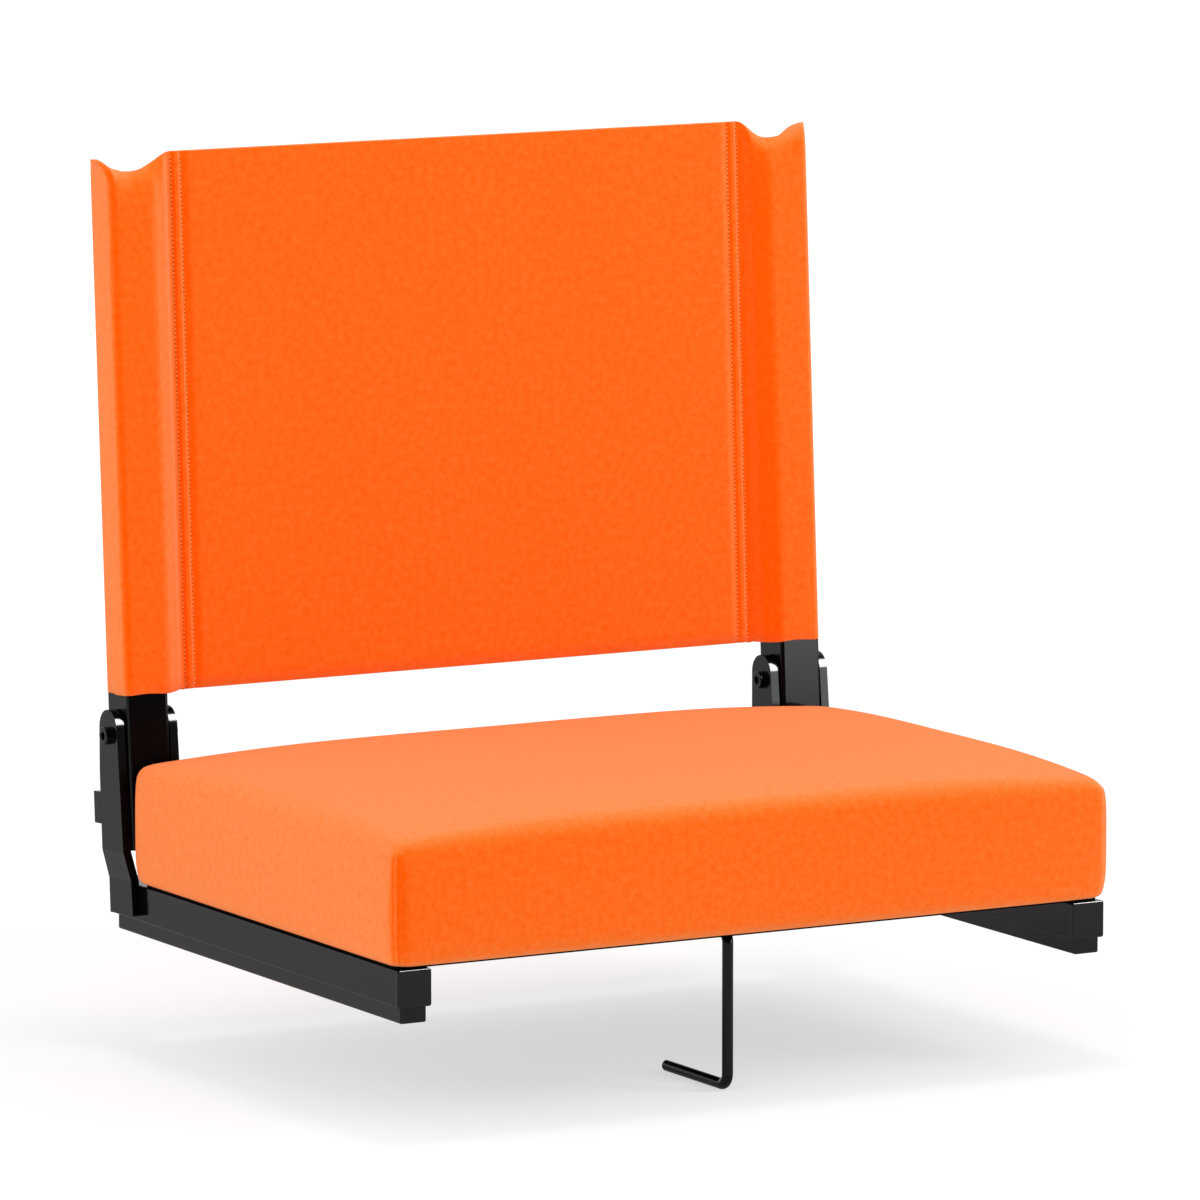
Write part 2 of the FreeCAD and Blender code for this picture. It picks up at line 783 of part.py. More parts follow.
def staple(x, y, along):
    """One staple, crown under the seat's sheet and legs up into the board. along is the crown's axis."""
    half = "staple_width / 2"
    thin = "staple_wire / 2"
    low = "rail_top - staple_crown"
    spans = {"x": (half, thin), "y": (thin, half)}
    wide, deep = spans[along]
    parts = [box((f"{x} - {wide}", f"{x} + {wide}"), (f"{y} - {deep}", f"{y} + {deep}"), (low, "rail_top"))]
    for end in (-1, 1):
        shift = f"{end} * ({half} - {thin})"
        leg_x = f"{x} + {shift}" if along == "x" else x
        leg_y = f"{y} + {shift}" if along == "y" else y
        across = (f"{leg_x} - {thin}", f"{leg_x} + {thin}")
        along_y = (f"{leg_y} - {thin}", f"{leg_y} + {thin}")
        parts.append(box(across, along_y, (low, "rail_top + staple_leg")))
    return fuse(*parts)


def make_staples():
    items = []
    for y in ("cushion_front_y + staple_margin", "cushion_back_y - staple_margin"):
        for step in FRONT_STAPLES:
            items.append(staple(f"{step} * staple_reach_x", y, "x"))
    for side in SIDES.values():
        for step in SIDE_STAPLES:
            x = f"{side} * (cushion_half - staple_margin)"
            items.append(staple(x, f"cushion_mid_y + {step} * staple_reach_y", "y"))
    return piece(group(*items), "cover_staples")


board_screws = make_board_screws()
clip_screws = make_clip_screws()
staples = make_staples()
sheet_span = ("cushion_front_y + sheet_inset", "cushion_back_y - sheet_inset")
base_sheet = rectangle_plate(
    "cushion_half - sheet_inset", sheet_span, ("rail_top", "cover_low"), "cushion_corner"
)
board_span = (
    "cushion_front_y + fabric + board_gap",
    "cushion_back_y - fabric - board_gap",
)
board = rectangle_plate("board_half", board_span, ("board_low", "board_top"), "board_corner")
fixings = (board_screws, clip_screws, staples)
piece(cut(base_sheet, *fixings), "base_sheet")
piece(cut(board, *fixings), "seat_board")

opening = box(
    ("turn_in - cushion_half", "cushion_half - turn_in"),
    ("cushion_front_y + turn_in", "cushion_back_y - turn_in"),
    ("cover_low - 1", "board_low + 1"),
)
cover_hollow = cushion_form("fabric")
piece(cut(cushion_form("0"), cover_hollow, opening, board_screws, staples), "seat_cover")
below_foam = box(
    ("-seat_width", "seat_width"), ("-rail_length", "rail_length"), ("0", "board_top")
)
piece(cut(cushion_form("fabric + foam_gap"), below_foam), "seat_foam")


# Bench hook: one bent rod that hangs from two clips under the board and turns about its top leg


def make_hook():
    body = doc.addObject("PartDesign::Body", "Body")
    path = sketch_on(body, "YZ_Plane")
    tail = "hook_y + hook_tail"
    low = "-hook_drop"
    points = [
        (tail, "hook_z"),
        ("hook_y + hook_top_bend", "hook_z", "hook_top_bend", -1),
        ("hook_y", "hook_z - hook_top_bend"),
        ("hook_y", f"{low} + hook_low_bend", "hook_low_bend", -1),
        ("hook_y + hook_low_bend", low),
        ("hook_y + hook_reach", low),
    ]
    loop(path, points, closed=False)
    ring = sketch_on(body, "XZ_Plane")
    ring.AttachmentOffset = FreeCAD.Placement(FreeCAD.Vector(), FreeCAD.Rotation())
    bind(ring, AttachmentOffset__Base__z=f"-({tail})")
    ring.addGeometry(Part.Circle(FreeCAD.Vector(0, number("hook_z"), 0), FreeCAD.Vector(0, 0, 1), 1), False)
    for kind, text in (("DistanceX", "0"), ("DistanceY", "hook_z")):
        made = ring.addConstraint(Sketcher.Constraint(kind, -1, 1, 0, 3, number(text)))
        ring.setExpression(f"Constraints[{made}]", bound(text))
    made = ring.addConstraint(Sketcher.Constraint("Radius", 0, number("hook_radius")))
    ring.setExpression(f"Constraints[{made}]", bound("hook_radius"))
    pipe = body.newObject("PartDesign::AdditivePipe", "Bent")
    pipe.Profile = ring
    pipe.Spine = path
    doc.recompute()
    return piece(body, "hook_rod")


def make_clip(step):
    """A moulded clip: two ears against the seat's sheet and a hump that the rod turns in."""
    y = (clip_y(step), f"{clip_y(step)} + clip_length")
    ears = box(("-clip_width / 2", "clip_width / 2"), y, ("rail_top - clip_ear", "rail_top"))
    hump_half = "hook_radius + clip_wall"
    hump = box((f"-({hump_half})", hump_half), y, (f"hook_z - ({hump_half})", "rail_top"))
    start = ("0", f"{y[0]} - 1", "hook_z")
    bore = cylinder("y", "hook_radius + hook_clearance", start, "clip_length + 2")
    return cut(fuse(ears, hump), bore, clip_screws)


def make_collar(y):
    """A push-on ring that keeps the rod from sliding through a clip."""
    spot = ("0", y, "hook_z")
    return cut(
        cylinder("y", "collar_diameter / 2", spot, "collar_thick"),
        cylinder("y", "hook_radius", spot, "collar_thick"),
    )


make_hook()
piece(group(*[make_clip(step) for step in CLIP_STEPS]), "hook_clips")
behind = f"{clip_y(0)} + clip_length + collar_gap"
ahead = f"{clip_y(1)} - collar_gap - collar_thick"
piece(group(make_collar(behind), make_collar(ahead)), "hook_collars")


# Checks, then one file for each sub-part

doc.recompute()
faults = []
for item in doc.Objects:
    if {"Invalid", "Error"} & set(item.State):
        faults.append(f"{item.Name} {item.Label}: {item.State}")
for item in PIECES:
    if item.Shape.isNull() or not item.Shape.isValid() or not item.Shape.Solids:
        faults.append(f"{item.Label}: bad shape")
if faults:
    sys.exit("\n".join(faults))

os.makedirs("parts", exist_ok=True)
for item in PIECES:
    item.Shape.exportStep(f"parts/{item.Label}.step")
    box_now = item.Shape.BoundBox
    print(
        f"{item.Label:26s} solids {len(item.Shape.Solids):2d}  volume {item.Shape.Volume:10.1f}"
        f"  x {box_now.XMin:7.1f} {box_now.XMax:7.1f}  y {box_now.YMin:7.1f} {box_now.YMax:7.1f}"
        f"  z {box_now.ZMin:7.1f} {box_now.ZMax:7.1f}"
    )
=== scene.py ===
# %% [markdown]
# # Folding bleacher seat
#
# A padded seat for a stadium bench. Two black tube rails carry an orange cushion, a cloth sling is
# stretched between two posts that fold forward on flat hinge plates, and a bent rod hangs below to hook
# the bench. The metal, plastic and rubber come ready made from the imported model, at their real size. This
# lesson makes what is soft, the cushion and the sling with their seams, and then the finishes, the light
# and the camera. Everything is in metres: X to the right from the front, Y to the back, Z up from the
# bench.

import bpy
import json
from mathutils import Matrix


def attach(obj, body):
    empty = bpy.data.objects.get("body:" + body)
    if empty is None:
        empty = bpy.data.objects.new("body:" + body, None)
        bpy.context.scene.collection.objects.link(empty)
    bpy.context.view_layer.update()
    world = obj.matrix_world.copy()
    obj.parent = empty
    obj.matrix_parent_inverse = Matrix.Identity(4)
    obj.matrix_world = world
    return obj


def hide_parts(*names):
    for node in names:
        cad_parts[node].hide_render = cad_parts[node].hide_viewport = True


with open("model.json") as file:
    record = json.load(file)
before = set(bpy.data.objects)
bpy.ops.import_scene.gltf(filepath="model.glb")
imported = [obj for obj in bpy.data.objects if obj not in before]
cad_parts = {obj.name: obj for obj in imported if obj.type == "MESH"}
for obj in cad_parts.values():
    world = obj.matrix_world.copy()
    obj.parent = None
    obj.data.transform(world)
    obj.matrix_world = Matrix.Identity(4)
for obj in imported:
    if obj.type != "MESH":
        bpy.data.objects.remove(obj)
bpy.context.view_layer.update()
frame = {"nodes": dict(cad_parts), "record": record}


# %% [markdown]
# ## The pivot's own axes
#
# The backrest leans back a little and turns about a pivot at the back of the rails. Its cloth is easier
# to draw upright, in millimetres: across (x), backwards from the pivot plane (n) and up along the post
# (s). The finished object could be turned, but a piece keeps its place in its mesh, so that its patterns
# stay where they are. One turn and one shift therefore move all the points.

# %% From the post's axes to the seat's
import math

import numpy as np

MM = 0.001
RECLINE = math.radians(3.3)
PIVOT_Y = 153.0
PIVOT_Z = 109.0
POST_TOP = 291.0


def leaned(x, n, s):
    """Points given across, back and up the post in millimetres, turned by the recline, in metres."""
    y = PIVOT_Y + s * math.sin(RECLINE) + n * math.cos(RECLINE)
    z = PIVOT_Z + s * math.cos(RECLINE) - n * math.sin(RECLINE)
    return np.stack(np.broadcast_arrays(x, y, z), axis=-1) * MM


print("pivot", leaned(0, 0, 0).round(4), "post top", leaned(0, 0, POST_TOP).round(4))

# %% [markdown]
# ## The sling's outline
#
# The sling is two layers of cloth, sewn together by two rows of stitches beside each post. Between the
# rows the cloth puffs up, and along them it is pulled down. Outside the rows the layers part and go round
# the square post as a sleeve. Seen from above, a layer is a chain of straight runs with rounded corners.
# It could be bent from a flat sheet by simulation, but a stretched cloth takes exactly the path of its
# posts, so it is drawn as that path: half of one layer, as its distance from the middle of the two.

# %% Half of one layer, seen from above
POST_X = 206.0
ROW_IN = 171.7
ROW_OUT = 177.7
PANEL_PUFF = 1.8
ROW_DEPTH = 0.45
ROW_PUFF = 1.6
ARC_STEP = 0.4
# Each corner is its place across, the layer's distance from the middle there, and the radius of its bend.
LAYER_CORNERS = [
    (0, PANEL_PUFF, 0),
    (167.6, PANEL_PUFF, 10.0),
    (ROW_IN, ROW_DEPTH, 0.9),
    (173.4, ROW_PUFF, 1.0),
    (175.9, ROW_PUFF, 1.0),
    (ROW_OUT, ROW_DEPTH, 0.9),
    (180.5, 1.4, 1.5),
    (184.6, 7.2, 6.0),
    (193.2, 13.7, 8.0),
    (POST_X + 13.2, 13.3, 4.6),
    (POST_X + 13.5, 0, 0),
]


def rounded_path(corners, step):
    """Points along a chain of runs whose corners are arcs: (x, y, radius) for each corner.

    An arc of radius r at a corner that turns by an angle t touches both runs at r * tan(t / 2) from it.
    """
    corners = np.asarray(corners, float)
    spots, radii = corners[:, :2], corners[:, 2]
    runs = np.diff(spots, axis=0)
    runs /= np.linalg.norm(runs, axis=1)[:, None]
    path = [spots[:1]]
    for spot, radius, before, after in zip(spots[1:-1], radii[1:-1], runs[:-1], runs[1:]):
        turn = math.atan2(before[0] * after[1] - before[1] * after[0], before @ after)
        start = spot - before * radius * math.tan(abs(turn) / 2)
        centre = start + np.sign(turn) * radius * np.array([-before[1], before[0]])
        swing = np.linspace(0, turn, max(3, int(abs(turn) * radius / step) + 2))
        arm = start - centre
        across = arm[0] * np.cos(swing) - arm[1] * np.sin(swing)
        back = arm[0] * np.sin(swing) + arm[1] * np.cos(swing)
        path.append(centre + np.stack([across, back], axis=-1))
    path.append(spots[-1:])
    return np.concatenate(path)


bent_path = rounded_path(LAYER_CORNERS, ARC_STEP)
print("corners", len(LAYER_CORNERS), "points on their arcs", len(bent_path))

# %% [markdown]
# ## Points on the long runs
#
# The arcs have points close together, and the straight runs between them have none. A smooth bow needs
# some there too, so each long run is divided evenly. The length of this line is also how much cloth a
# layer takes.

# %% Divide the runs
RUN_STEP = 4.0


def filled(path, step):
    """The same path with points added on its long runs, no further apart than the step."""
    gaps = np.linalg.norm(np.diff(path, axis=0), axis=1)
    along = np.concatenate([[0], np.cumsum(gaps)])
    ends = zip(along[:-1], along[1:])
    extra = [np.linspace(a, b, int((b - a) / step) + 2)[1:-1] for a, b in ends]
    spots = np.sort(np.concatenate([along, *extra]))
    return np.stack([np.interp(spots, along, path[:, k]) for k in (0, 1)], axis=-1)


half_x, half_depth = filled(bent_path, RUN_STEP).T

# %% [markdown]
# ## The sling's top edge
#
# Each sleeve is sewn shut over its post like the end of a pillow case. Over the post the cloth lies
# almost flat, so the top edge dips there, and the corner beyond the post stands up as a little ear. The
# sleeves hang a little differently, so the left dip lies nearer to its post's outer side than the right
# one. Both edges are one formula with the dip's place as its only difference.

# %% Height of the edge and place of the middle
S_FOOT = 22.5
S_PANEL = 316.1
S_DIP = 306.3
S_EAR = 313.5
DIP_LEFT = 206.3
DIP_RIGHT = 197.8
X_LEVEL = 177.8
X_EAR_TOP = 220.8
S_MID = 169.0
S_HALF = 147.0
PANEL_AHEAD = 2.6
PANEL_TILT = 1.1
SLEEVE_AHEAD = 0.5
X_PANEL_END = 179.0
X_SLEEVE = 195.0
DIP_POWER = 1.35
EAR_POWER = 1.85


def smoothstep(low, high, value):
    """0 below low, 1 above high, and a smooth rise between them."""
    share = np.clip((value - low) / (high - low), 0, 1)
    return share * share * (3 - 2 * share)


def top_edge(x, dip):
    """Height of the top edge: level over the panel, half a cosine down to the dip, a power up to the ear."""
    inner = np.clip((dip - x) / (dip - X_LEVEL), 0, 1) ** DIP_POWER
    outer = np.clip((x - dip) / (X_EAR_TOP - dip), 0, 1) ** EAR_POWER
    return S_DIP + (S_PANEL - S_DIP) * (1 - np.cos(math.pi * inner)) / 2 + (S_EAR - S_DIP) * outer


def middle(x, s):
    """Where the middle of the two layers is: in the post's plane at a sleeve, a little forward between."""
    panel = -PANEL_AHEAD - PANEL_TILT * (s - S_MID) / S_HALF
    return panel + (-SLEEVE_AHEAD - panel) * smoothstep(X_PANEL_END, X_SLEEVE, x)


for name, dip in (("left", DIP_LEFT), ("right", DIP_RIGHT)):
    print(name, "edge over the panel, dip and ear", top_edge(np.array([0, dip, X_EAR_TOP]), dip).round(1))

# %% [markdown]
# ## Closing the sleeves
#
# Every point of a layer has a place on the closed seam to go to. Below the seam the layers lean together
# slowly at first and then more and more, as an exponential does. The cloth of the outer side gathers at
# the ear's tip, so it ends in a point. Sewing springs in a simulation would pull it shut as well, but
# they would not give these two ears.

# %% The layers from foot to seam
X_EAR = 224.3
X_SEAM = 177.0
X_OUTER_FROM = POST_X - 3
X_OUTER_TO = POST_X + 13
X_CLOSE_FROM = 178.0
X_CLOSE_TO = 188.0
SEAM_AHEAD = 6.2
CLOSE_PANEL = 0.9
CLOSE_SLEEVE = 27.0
STEEP_FRONT = 5.0
STEEP_REAR = 7.0
STEEP_OUTSIDE = 2.0


def upright(side, s):
    """Half a layer at given heights, before it is closed; side -1 is the front layer, 1 the rear."""
    n = middle(half_x, s) + side * half_depth
    return np.stack(np.broadcast_arrays(half_x, n, s), axis=-1)


def half_layer(side, dip, rows_up=36, rows_over=22):
    """Half of one layer as rows of points: even rows up to the closing, then rows that lean to the seam."""
    outside = smoothstep(X_OUTER_FROM, X_OUTER_TO, half_x)
    seam_x = half_x + (X_EAR - half_x[-1]) * outside
    seam_s = top_edge(seam_x, dip)
    bulge = np.sin(math.pi * np.clip((seam_x - X_SEAM) / (X_EAR - X_SEAM), 0, 1))
    seam_n = middle(seam_x, seam_s) - SEAM_AHEAD * bulge
    closing = CLOSE_PANEL + CLOSE_SLEEVE * smoothstep(X_CLOSE_FROM, X_CLOSE_TO, seam_x)
    rise = np.linspace(0, 1, rows_up)[:, None]
    low = upright(side, S_FOOT + (seam_s - closing - S_FOOT) * rise)
    below = np.linspace(1, 0, rows_over + 1)[1:, None] ** 2
    steep = (STEEP_FRONT if side < 0 else STEEP_REAR) + STEEP_OUTSIDE * outside
    lean = (np.exp(-steep * below) - np.exp(-steep)) / (1 - np.exp(-steep))
    high_s = seam_s - closing * below
    straight = upright(side, high_s)
    seam = np.stack(np.broadcast_arrays(seam_x, seam_n, high_s), axis=-1)
    return np.concatenate([low, straight + (seam - straight) * lean[..., None]])


def layer_points(side):
    """Both halves of one layer, side by side from left to right."""
    left = half_layer(side, DIP_LEFT)[:, :0:-1] * np.array([-1, 1, 1])
    return np.concatenate([left, half_layer(side, DIP_RIGHT)], axis=1)


front = layer_points(-1)
rear = layer_points(1)
print("front layer", front.shape, "dip", round(front[-1, :, 2].min(), 2), "ear", round(front[-1, 0, 0], 2))

# %% [markdown]
# ## Slack in stretched cloth
#
# A stretched sling isn't quite flat. Between the posts it hangs back a little, and it keeps faint pulls
# that run out from the sewn corners. They are a small bow and a few long waves that fade out at the
# seams. The sleeve's foot is a little wavy too, because only the hem holds it.

# %% Bow and pulls
BOW = 0.9
PULL_DEPTH = 0.2
FOOT_WAVE = 0.35
FOOT_REACH = 7.0


def settled(points, side):
    """Adds the sling's bow and faint pulls to its panel, fading to nothing at the stitches.

    The bow is half a sine over the height, flattened by a power, and a pull is the product of two slow sines.
    """
    x, n, s = np.moveaxis(points, -1, 0)
    fade = np.clip(1 - (x / (ROW_IN - 2)) ** 2, 0, 1)
    tall = np.clip((s - S_FOOT) / (S_PANEL - S_FOOT), 0, 1)
    bow = BOW * fade * np.sin(math.pi * tall) ** 0.7
    pull = PULL_DEPTH * np.sin(0.052 * x + 2.4 * tall) * np.sin(5.2 * tall + 0.011 * x) * fade**0.5
    low = np.exp(-(((s - S_FOOT) / FOOT_REACH) ** 2)) * (np.abs(x) > ROW_OUT)
    return np.stack([x, n + bow + pull, s + FOOT_WAVE * low * np.sin(0.23 * x + side)], axis=-1)


front_settled = settled(front, -1)
rear_settled = settled(rear, 1)
print("the front layer moves by up to", round(float(np.abs(front_settled - front).max()), 2), "mm")

# %% [markdown]
# ## The hem
#
# The foot of each sleeve is turned in, so the cut edge is never seen. Three more rows of points make it:
# round the edge, up by a little, and then far up inside the sleeve. With them the two layers become one
# closed ring.

# %% Turn the foot in
HEM_DROP = 0.3
HEM_RISE = 0.7
HEM_LINE = 0.9
HEM_DEEP = 20.0
HEM_IN = 0.05
HEM_TURN = 0.6


def hem(ring):
    """Rows inside the foot of the sling: in by the cloth's thickness, then up out of sight."""
    x, n, s = np.moveaxis(ring, -1, 0)
    sleeve = smoothstep(ROW_OUT + 1, ROW_OUT + 8, np.abs(x))
    inner_x = x + (np.sign(x) * POST_X - x) * HEM_IN * sleeve
    panel_n = middle(np.abs(x), S_FOOT)
    inner_n = panel_n + (n - panel_n) * (1 - HEM_IN) * sleeve
    edge_x = x + (inner_x - x) * HEM_TURN
    edge_n = n + (inner_n - n) * HEM_TURN
    edge = np.stack([edge_x, edge_n, s - HEM_DROP], axis=-1)
    inside = np.stack([inner_x, inner_n, s + HEM_RISE], axis=-1)
    deep = np.stack([inner_x, inner_n, s + HEM_LINE + HEM_DEEP * sleeve], axis=-1)
    return np.stack([deep, inside, edge])


ring = np.concatenate([front_settled, rear_settled[:, -2:0:-1]], axis=1)
ring = np.concatenate([hem(ring[0]), ring])
rows, columns = ring.shape[:2]
print("ring of", rows, "rows and", columns, "columns")

# %% [markdown]
# ## Faces and a map of the cloth
#
# A surface is a grid of points: one array holds them all, and a second one says which four make each
# face. The cloth also carries a map of where each bit of it lies, in metres, so that the weave has its
# real size everywhere. It could be unwrapped, but here it is known: round the ring and up.

# %% Faces and map of the ring
GIRTH_ROW = 20


def grid_quads(rows, columns, around=False):
    """Corner numbers of a grid's faces; around joins the last column to the first."""
    index = np.arange(rows * columns).reshape(rows, columns)
    if around:
        index = np.concatenate([index, index[:, :1]], axis=1)
    corners = [index[:-1, :-1], index[:-1, 1:], index[1:, 1:], index[1:, :-1]]
    return np.stack(corners, axis=-1).reshape(-1, 4)


sling_quads = grid_quads(rows, columns, around=True)
steps = np.linalg.norm(np.diff(ring[GIRTH_ROW], axis=0), axis=1)
girth = np.concatenate([[0], np.cumsum(steps)])
next_girth = np.append(girth[1:], girth[-1] + 1)
u = np.tile(np.stack([girth, next_girth, next_girth, girth], axis=-1), (rows - 1, 1))
v = ring[..., 2].reshape(-1)[sling_quads]
sling_map = np.stack([u, v], axis=-1) * MM
print("faces", len(sling_quads), "girth", round(girth[-1], 1), "mm")

# %% [markdown]
# ## The sling as a piece
#
# The arrays are put into a mesh, and the mesh into an object that rides on the backrest. The points of
# the seam are merged, and the faces turned outwards. Solidify then gives the cloth its thickness inwards,
# so that the outside stays where it was drawn.

# %% Make the sling
import bmesh
import bpy

CLOTH_THICKNESS = 0.5


def mesh_piece(name, points, quads, body, uv=None):
    """A smooth-shaded mesh object that rides on a body; uv has one pair for each face corner."""
    mesh = bpy.data.meshes.new(name)
    mesh.from_pydata(np.asarray(points).reshape(-1, 3).tolist(), [], np.asarray(quads).tolist())
    mesh.shade_smooth()
    if uv is not None:
        layer = mesh.uv_layers.new(name="cloth")
        layer.data.foreach_set("uv", np.asarray(uv, np.float32).ravel())
    piece = bpy.data.objects.new(name, mesh)
    bpy.context.scene.collection.objects.link(piece)
    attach(piece, body)
    return piece


def close_up(piece, gap=0.00002):
    """Merges points that lie together and turns every face outwards."""
    work = bmesh.new()
    work.from_mesh(piece.data)
    bmesh.ops.remove_doubles(work, verts=work.verts, dist=gap)
    bmesh.ops.dissolve_degenerate(work, edges=work.edges, dist=gap / 4)
    bmesh.ops.recalc_face_normals(work, faces=work.faces)
    if work.calc_volume(signed=True) < 0:
        bmesh.ops.reverse_faces(work, faces=work.faces)
    work.to_mesh(piece.data)
    work.free()
    piece.data.shade_smooth()


sling_points = leaned(*np.moveaxis(ring, -1, 0))
sling = mesh_piece("back_sling_cloth", sling_points, sling_quads, "backrest", sling_map)
close_up(sling)
cloth = sling.modifiers.new("cloth_thickness", "SOLIDIFY")
cloth.thickness = CLOTH_THICKNESS * MM
cloth.offset = -1
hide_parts("back_sling")

# %% [markdown]
# ## Stitches
#
# Two rows of lock stitches run down each side of the sling, on the front and on the back. A stitch is a
# short thread, thick in the middle, that dives into the cloth at both ends. A particle system could
# scatter them, but one stitch as a small grid is enough: copies are set along the rows by adding each
# row's places to it in one sum.

# %% Sew the rows
STITCH_PITCH = 2.34
STITCH_LENGTH = 2.2
THREAD_RADIUS = 0.5
STITCH_OUT = 0.8
STITCH_ARCH = 1.1
STITCH_END = 0.45
FIRST_STITCH = S_FOOT + 2.5
LAST_STITCH = S_PANEL - 2.0
STITCH_RINGS = 5
STITCH_SIDES = 6


def stitch_shape(length, radius):
    """A thread bent like a low arch: its height falls as the square of the distance from its middle."""
    along = np.linspace(-1, 1, STITCH_RINGS)[:, None]
    around = np.linspace(0, 2 * math.pi, STITCH_SIDES + 1)[None, :-1]
    thick = radius * (STITCH_END + (1 - STITCH_END) * (1 - along**2))
    across = thick * np.cos(around)
    out = thick * np.sin(around) - radius * STITCH_ARCH * along**2
    return np.stack(np.broadcast_arrays(across, out, along * length / 2), axis=-1).reshape(-1, 3)


def sewn(x_rows, side):
    """Points of every stitch on one face of the sling, across, back and up."""
    up = np.arange(FIRST_STITCH, LAST_STITCH, STITCH_PITCH)
    x, s = (a.ravel() for a in np.meshgrid(x_rows, up))
    spots = np.stack([x, middle(np.abs(x), s) + side * STITCH_OUT, s], axis=-1)
    thread = stitch_shape(STITCH_LENGTH, THREAD_RADIUS) * np.array([1, side, 1])
    return (spots[:, None] + thread[None]).reshape(-1, 3)


stitch_rows = np.array([-ROW_OUT, -ROW_IN, ROW_IN, ROW_OUT])
sewing = np.concatenate([sewn(stitch_rows, side) for side in (-1, 1)])
stitch_size = STITCH_RINGS * STITCH_SIDES
stitch_count = len(sewing) // stitch_size
print("stitches", stitch_count)

# %% [markdown]
# ## The stitches as a piece
#
# All stitches are one mesh, because they never move apart. Those on the front are mirrored, which turns
# their faces inside out, so their corners are listed the other way round. A map keeps how far along its
# stitch each bit of thread is, because its ends get painted shade inside their holes and its middle a painted
# highlight.

# %% Make the stitches
one_stitch = grid_quads(STITCH_RINGS, STITCH_SIDES, around=True)
stitch_quads = one_stitch[None] + stitch_size * np.arange(stitch_count)[:, None, None]
on_front = stitch_count // 2
stitch_quads[:on_front] = stitch_quads[:on_front, :, ::-1]
stitch_quads = stitch_quads.reshape(-1, 4)
along_stitch = stitch_quads % stitch_size // STITCH_SIDES / (STITCH_RINGS - 1)
stitch_map = np.stack([np.zeros_like(along_stitch), along_stitch], axis=-1)
sling_stitches = mesh_piece("sling_stitches", leaned(*sewing.T), stitch_quads, "backrest", stitch_map)
print("stitch faces", len(stitch_quads))

# %% [markdown]
# ## The cushion's block
#
# The seat is a block of foam in a sewn cover. Its corners are tight, because an upright seam is sewn down
# each of them, while the top edge is soft and the top is crowned. The block starts as six flat grids, the
# sides of a box, with more lines near its edges than in the middle. A formula then bends the box: it
# rounds the edges, lifts the crown and lets the sides swell.

# %% Six grids of a box
HALF_X = 217.2
FRONT_Y = -164.4
BACK_Y = 134.4
HALF_Y = (BACK_Y - FRONT_Y) / 2
MID_Y = (BACK_Y + FRONT_Y) / 2
LOW_Z = 29.75
EDGE = 65.2
EDGE_LINES = np.array([0, 0.6, 1.2, 1.8, 2.5, 3.4, 4.6, 6.2, 8.3, 11.0, 14.5])


def spread_out(length, step=6.0):
    """Places from -1 to 1 along an edge: close together near both ends, then about a step apart."""
    band = EDGE_LINES[-1]
    inner = np.linspace(band, length - band, int((length - 2 * band) / step) + 2)[1:-1]
    return np.concatenate([EDGE_LINES, inner, length - EDGE_LINES[::-1]]) / length * 2 - 1


def box_grids():
    """Points of the six sides of a box from -1 to 1, and their faces."""
    a, b, c = spread_out(2 * HALF_X), spread_out(2 * HALF_Y), spread_out(EDGE)
    points, faces, count = [], [], 0
    for fixed, first, second in ((2, a, b), (1, a, c), (0, b, c)):
        pair = np.stack(np.meshgrid(first, second), axis=-1)
        for end in (-1, 1):
            points.append(np.insert(pair, fixed, end, axis=-1).reshape(-1, 3))
            faces.append(grid_quads(*pair.shape[:2]) + count)
            count += len(points[-1])
    return np.concatenate(points), np.concatenate(faces)


unit, cushion_quads = box_grids()
print("cushion points", len(unit), "faces", len(cushion_quads))

# %% [markdown]
# ## Rounding the box
#
# Near an edge, a point of the box lies in a small square across that edge. Sliding it towards the
# square's inner corner until it lies on a circle rounds the edge. That is done for the top edge, which is
# soft along the sides and tight at the corners, where the seams hold it up, for the bottom edge and, in
# plan, for the four corners. A Bevel modifier would do it with one radius, but here the radius changes
# along the edge.

# %% Round edges and corners
LOW_ROUND = 3.0
TOP_ROUND = 10.9
TOP_MORE_BEHIND = 0.9
CORNER_TIGHTER = 4.9
CORNER_MORE_BEHIND = 2.4
CORNER_POWER = 6
PLAN_ROUND = 5.8
PLAN_LESS_BEHIND = 1.8


def to_circle(one, two):
    """Shrink of a point in a square's corner that carries the square's outer sides to a circle."""
    return np.maximum(one, two) / np.maximum(np.hypot(one, two), 1e-9)


def round_level_edges(x, y, z, top_round):
    """Rounds the top and bottom edges; the last two results say how far out the rounded outline reaches."""
    reach_x, reach_y = np.full_like(x, HALF_X), np.full_like(y, HALF_Y)
    for end, radius in ((1, top_round), (-1, LOW_ROUND)):
        up = z - (EDGE - radius) if end > 0 else radius - z
        out_x, out_y = np.abs(x) - (HALF_X - radius), np.abs(y) - (HALF_Y - radius)
        out = np.maximum(out_x, out_y)
        near = (up > 0) & (out > 0)
        shrink = np.where(near, to_circle(np.maximum(up, 0), np.maximum(out, 0)), 1)
        x = np.where(near & (out_x > 0), np.sign(x) * (HALF_X - radius + out_x * shrink), x)
        y = np.where(near & (out_y > 0), np.sign(y) * (HALF_Y - radius + out_y * shrink), y)
        z = np.where(near, z + end * up * (shrink - 1), z)
        reach_x = np.where(near, HALF_X - radius + out * shrink, reach_x)
        reach_y = np.where(near, HALF_Y - radius + out * shrink, reach_y)
    return x, y, z, reach_x, reach_y


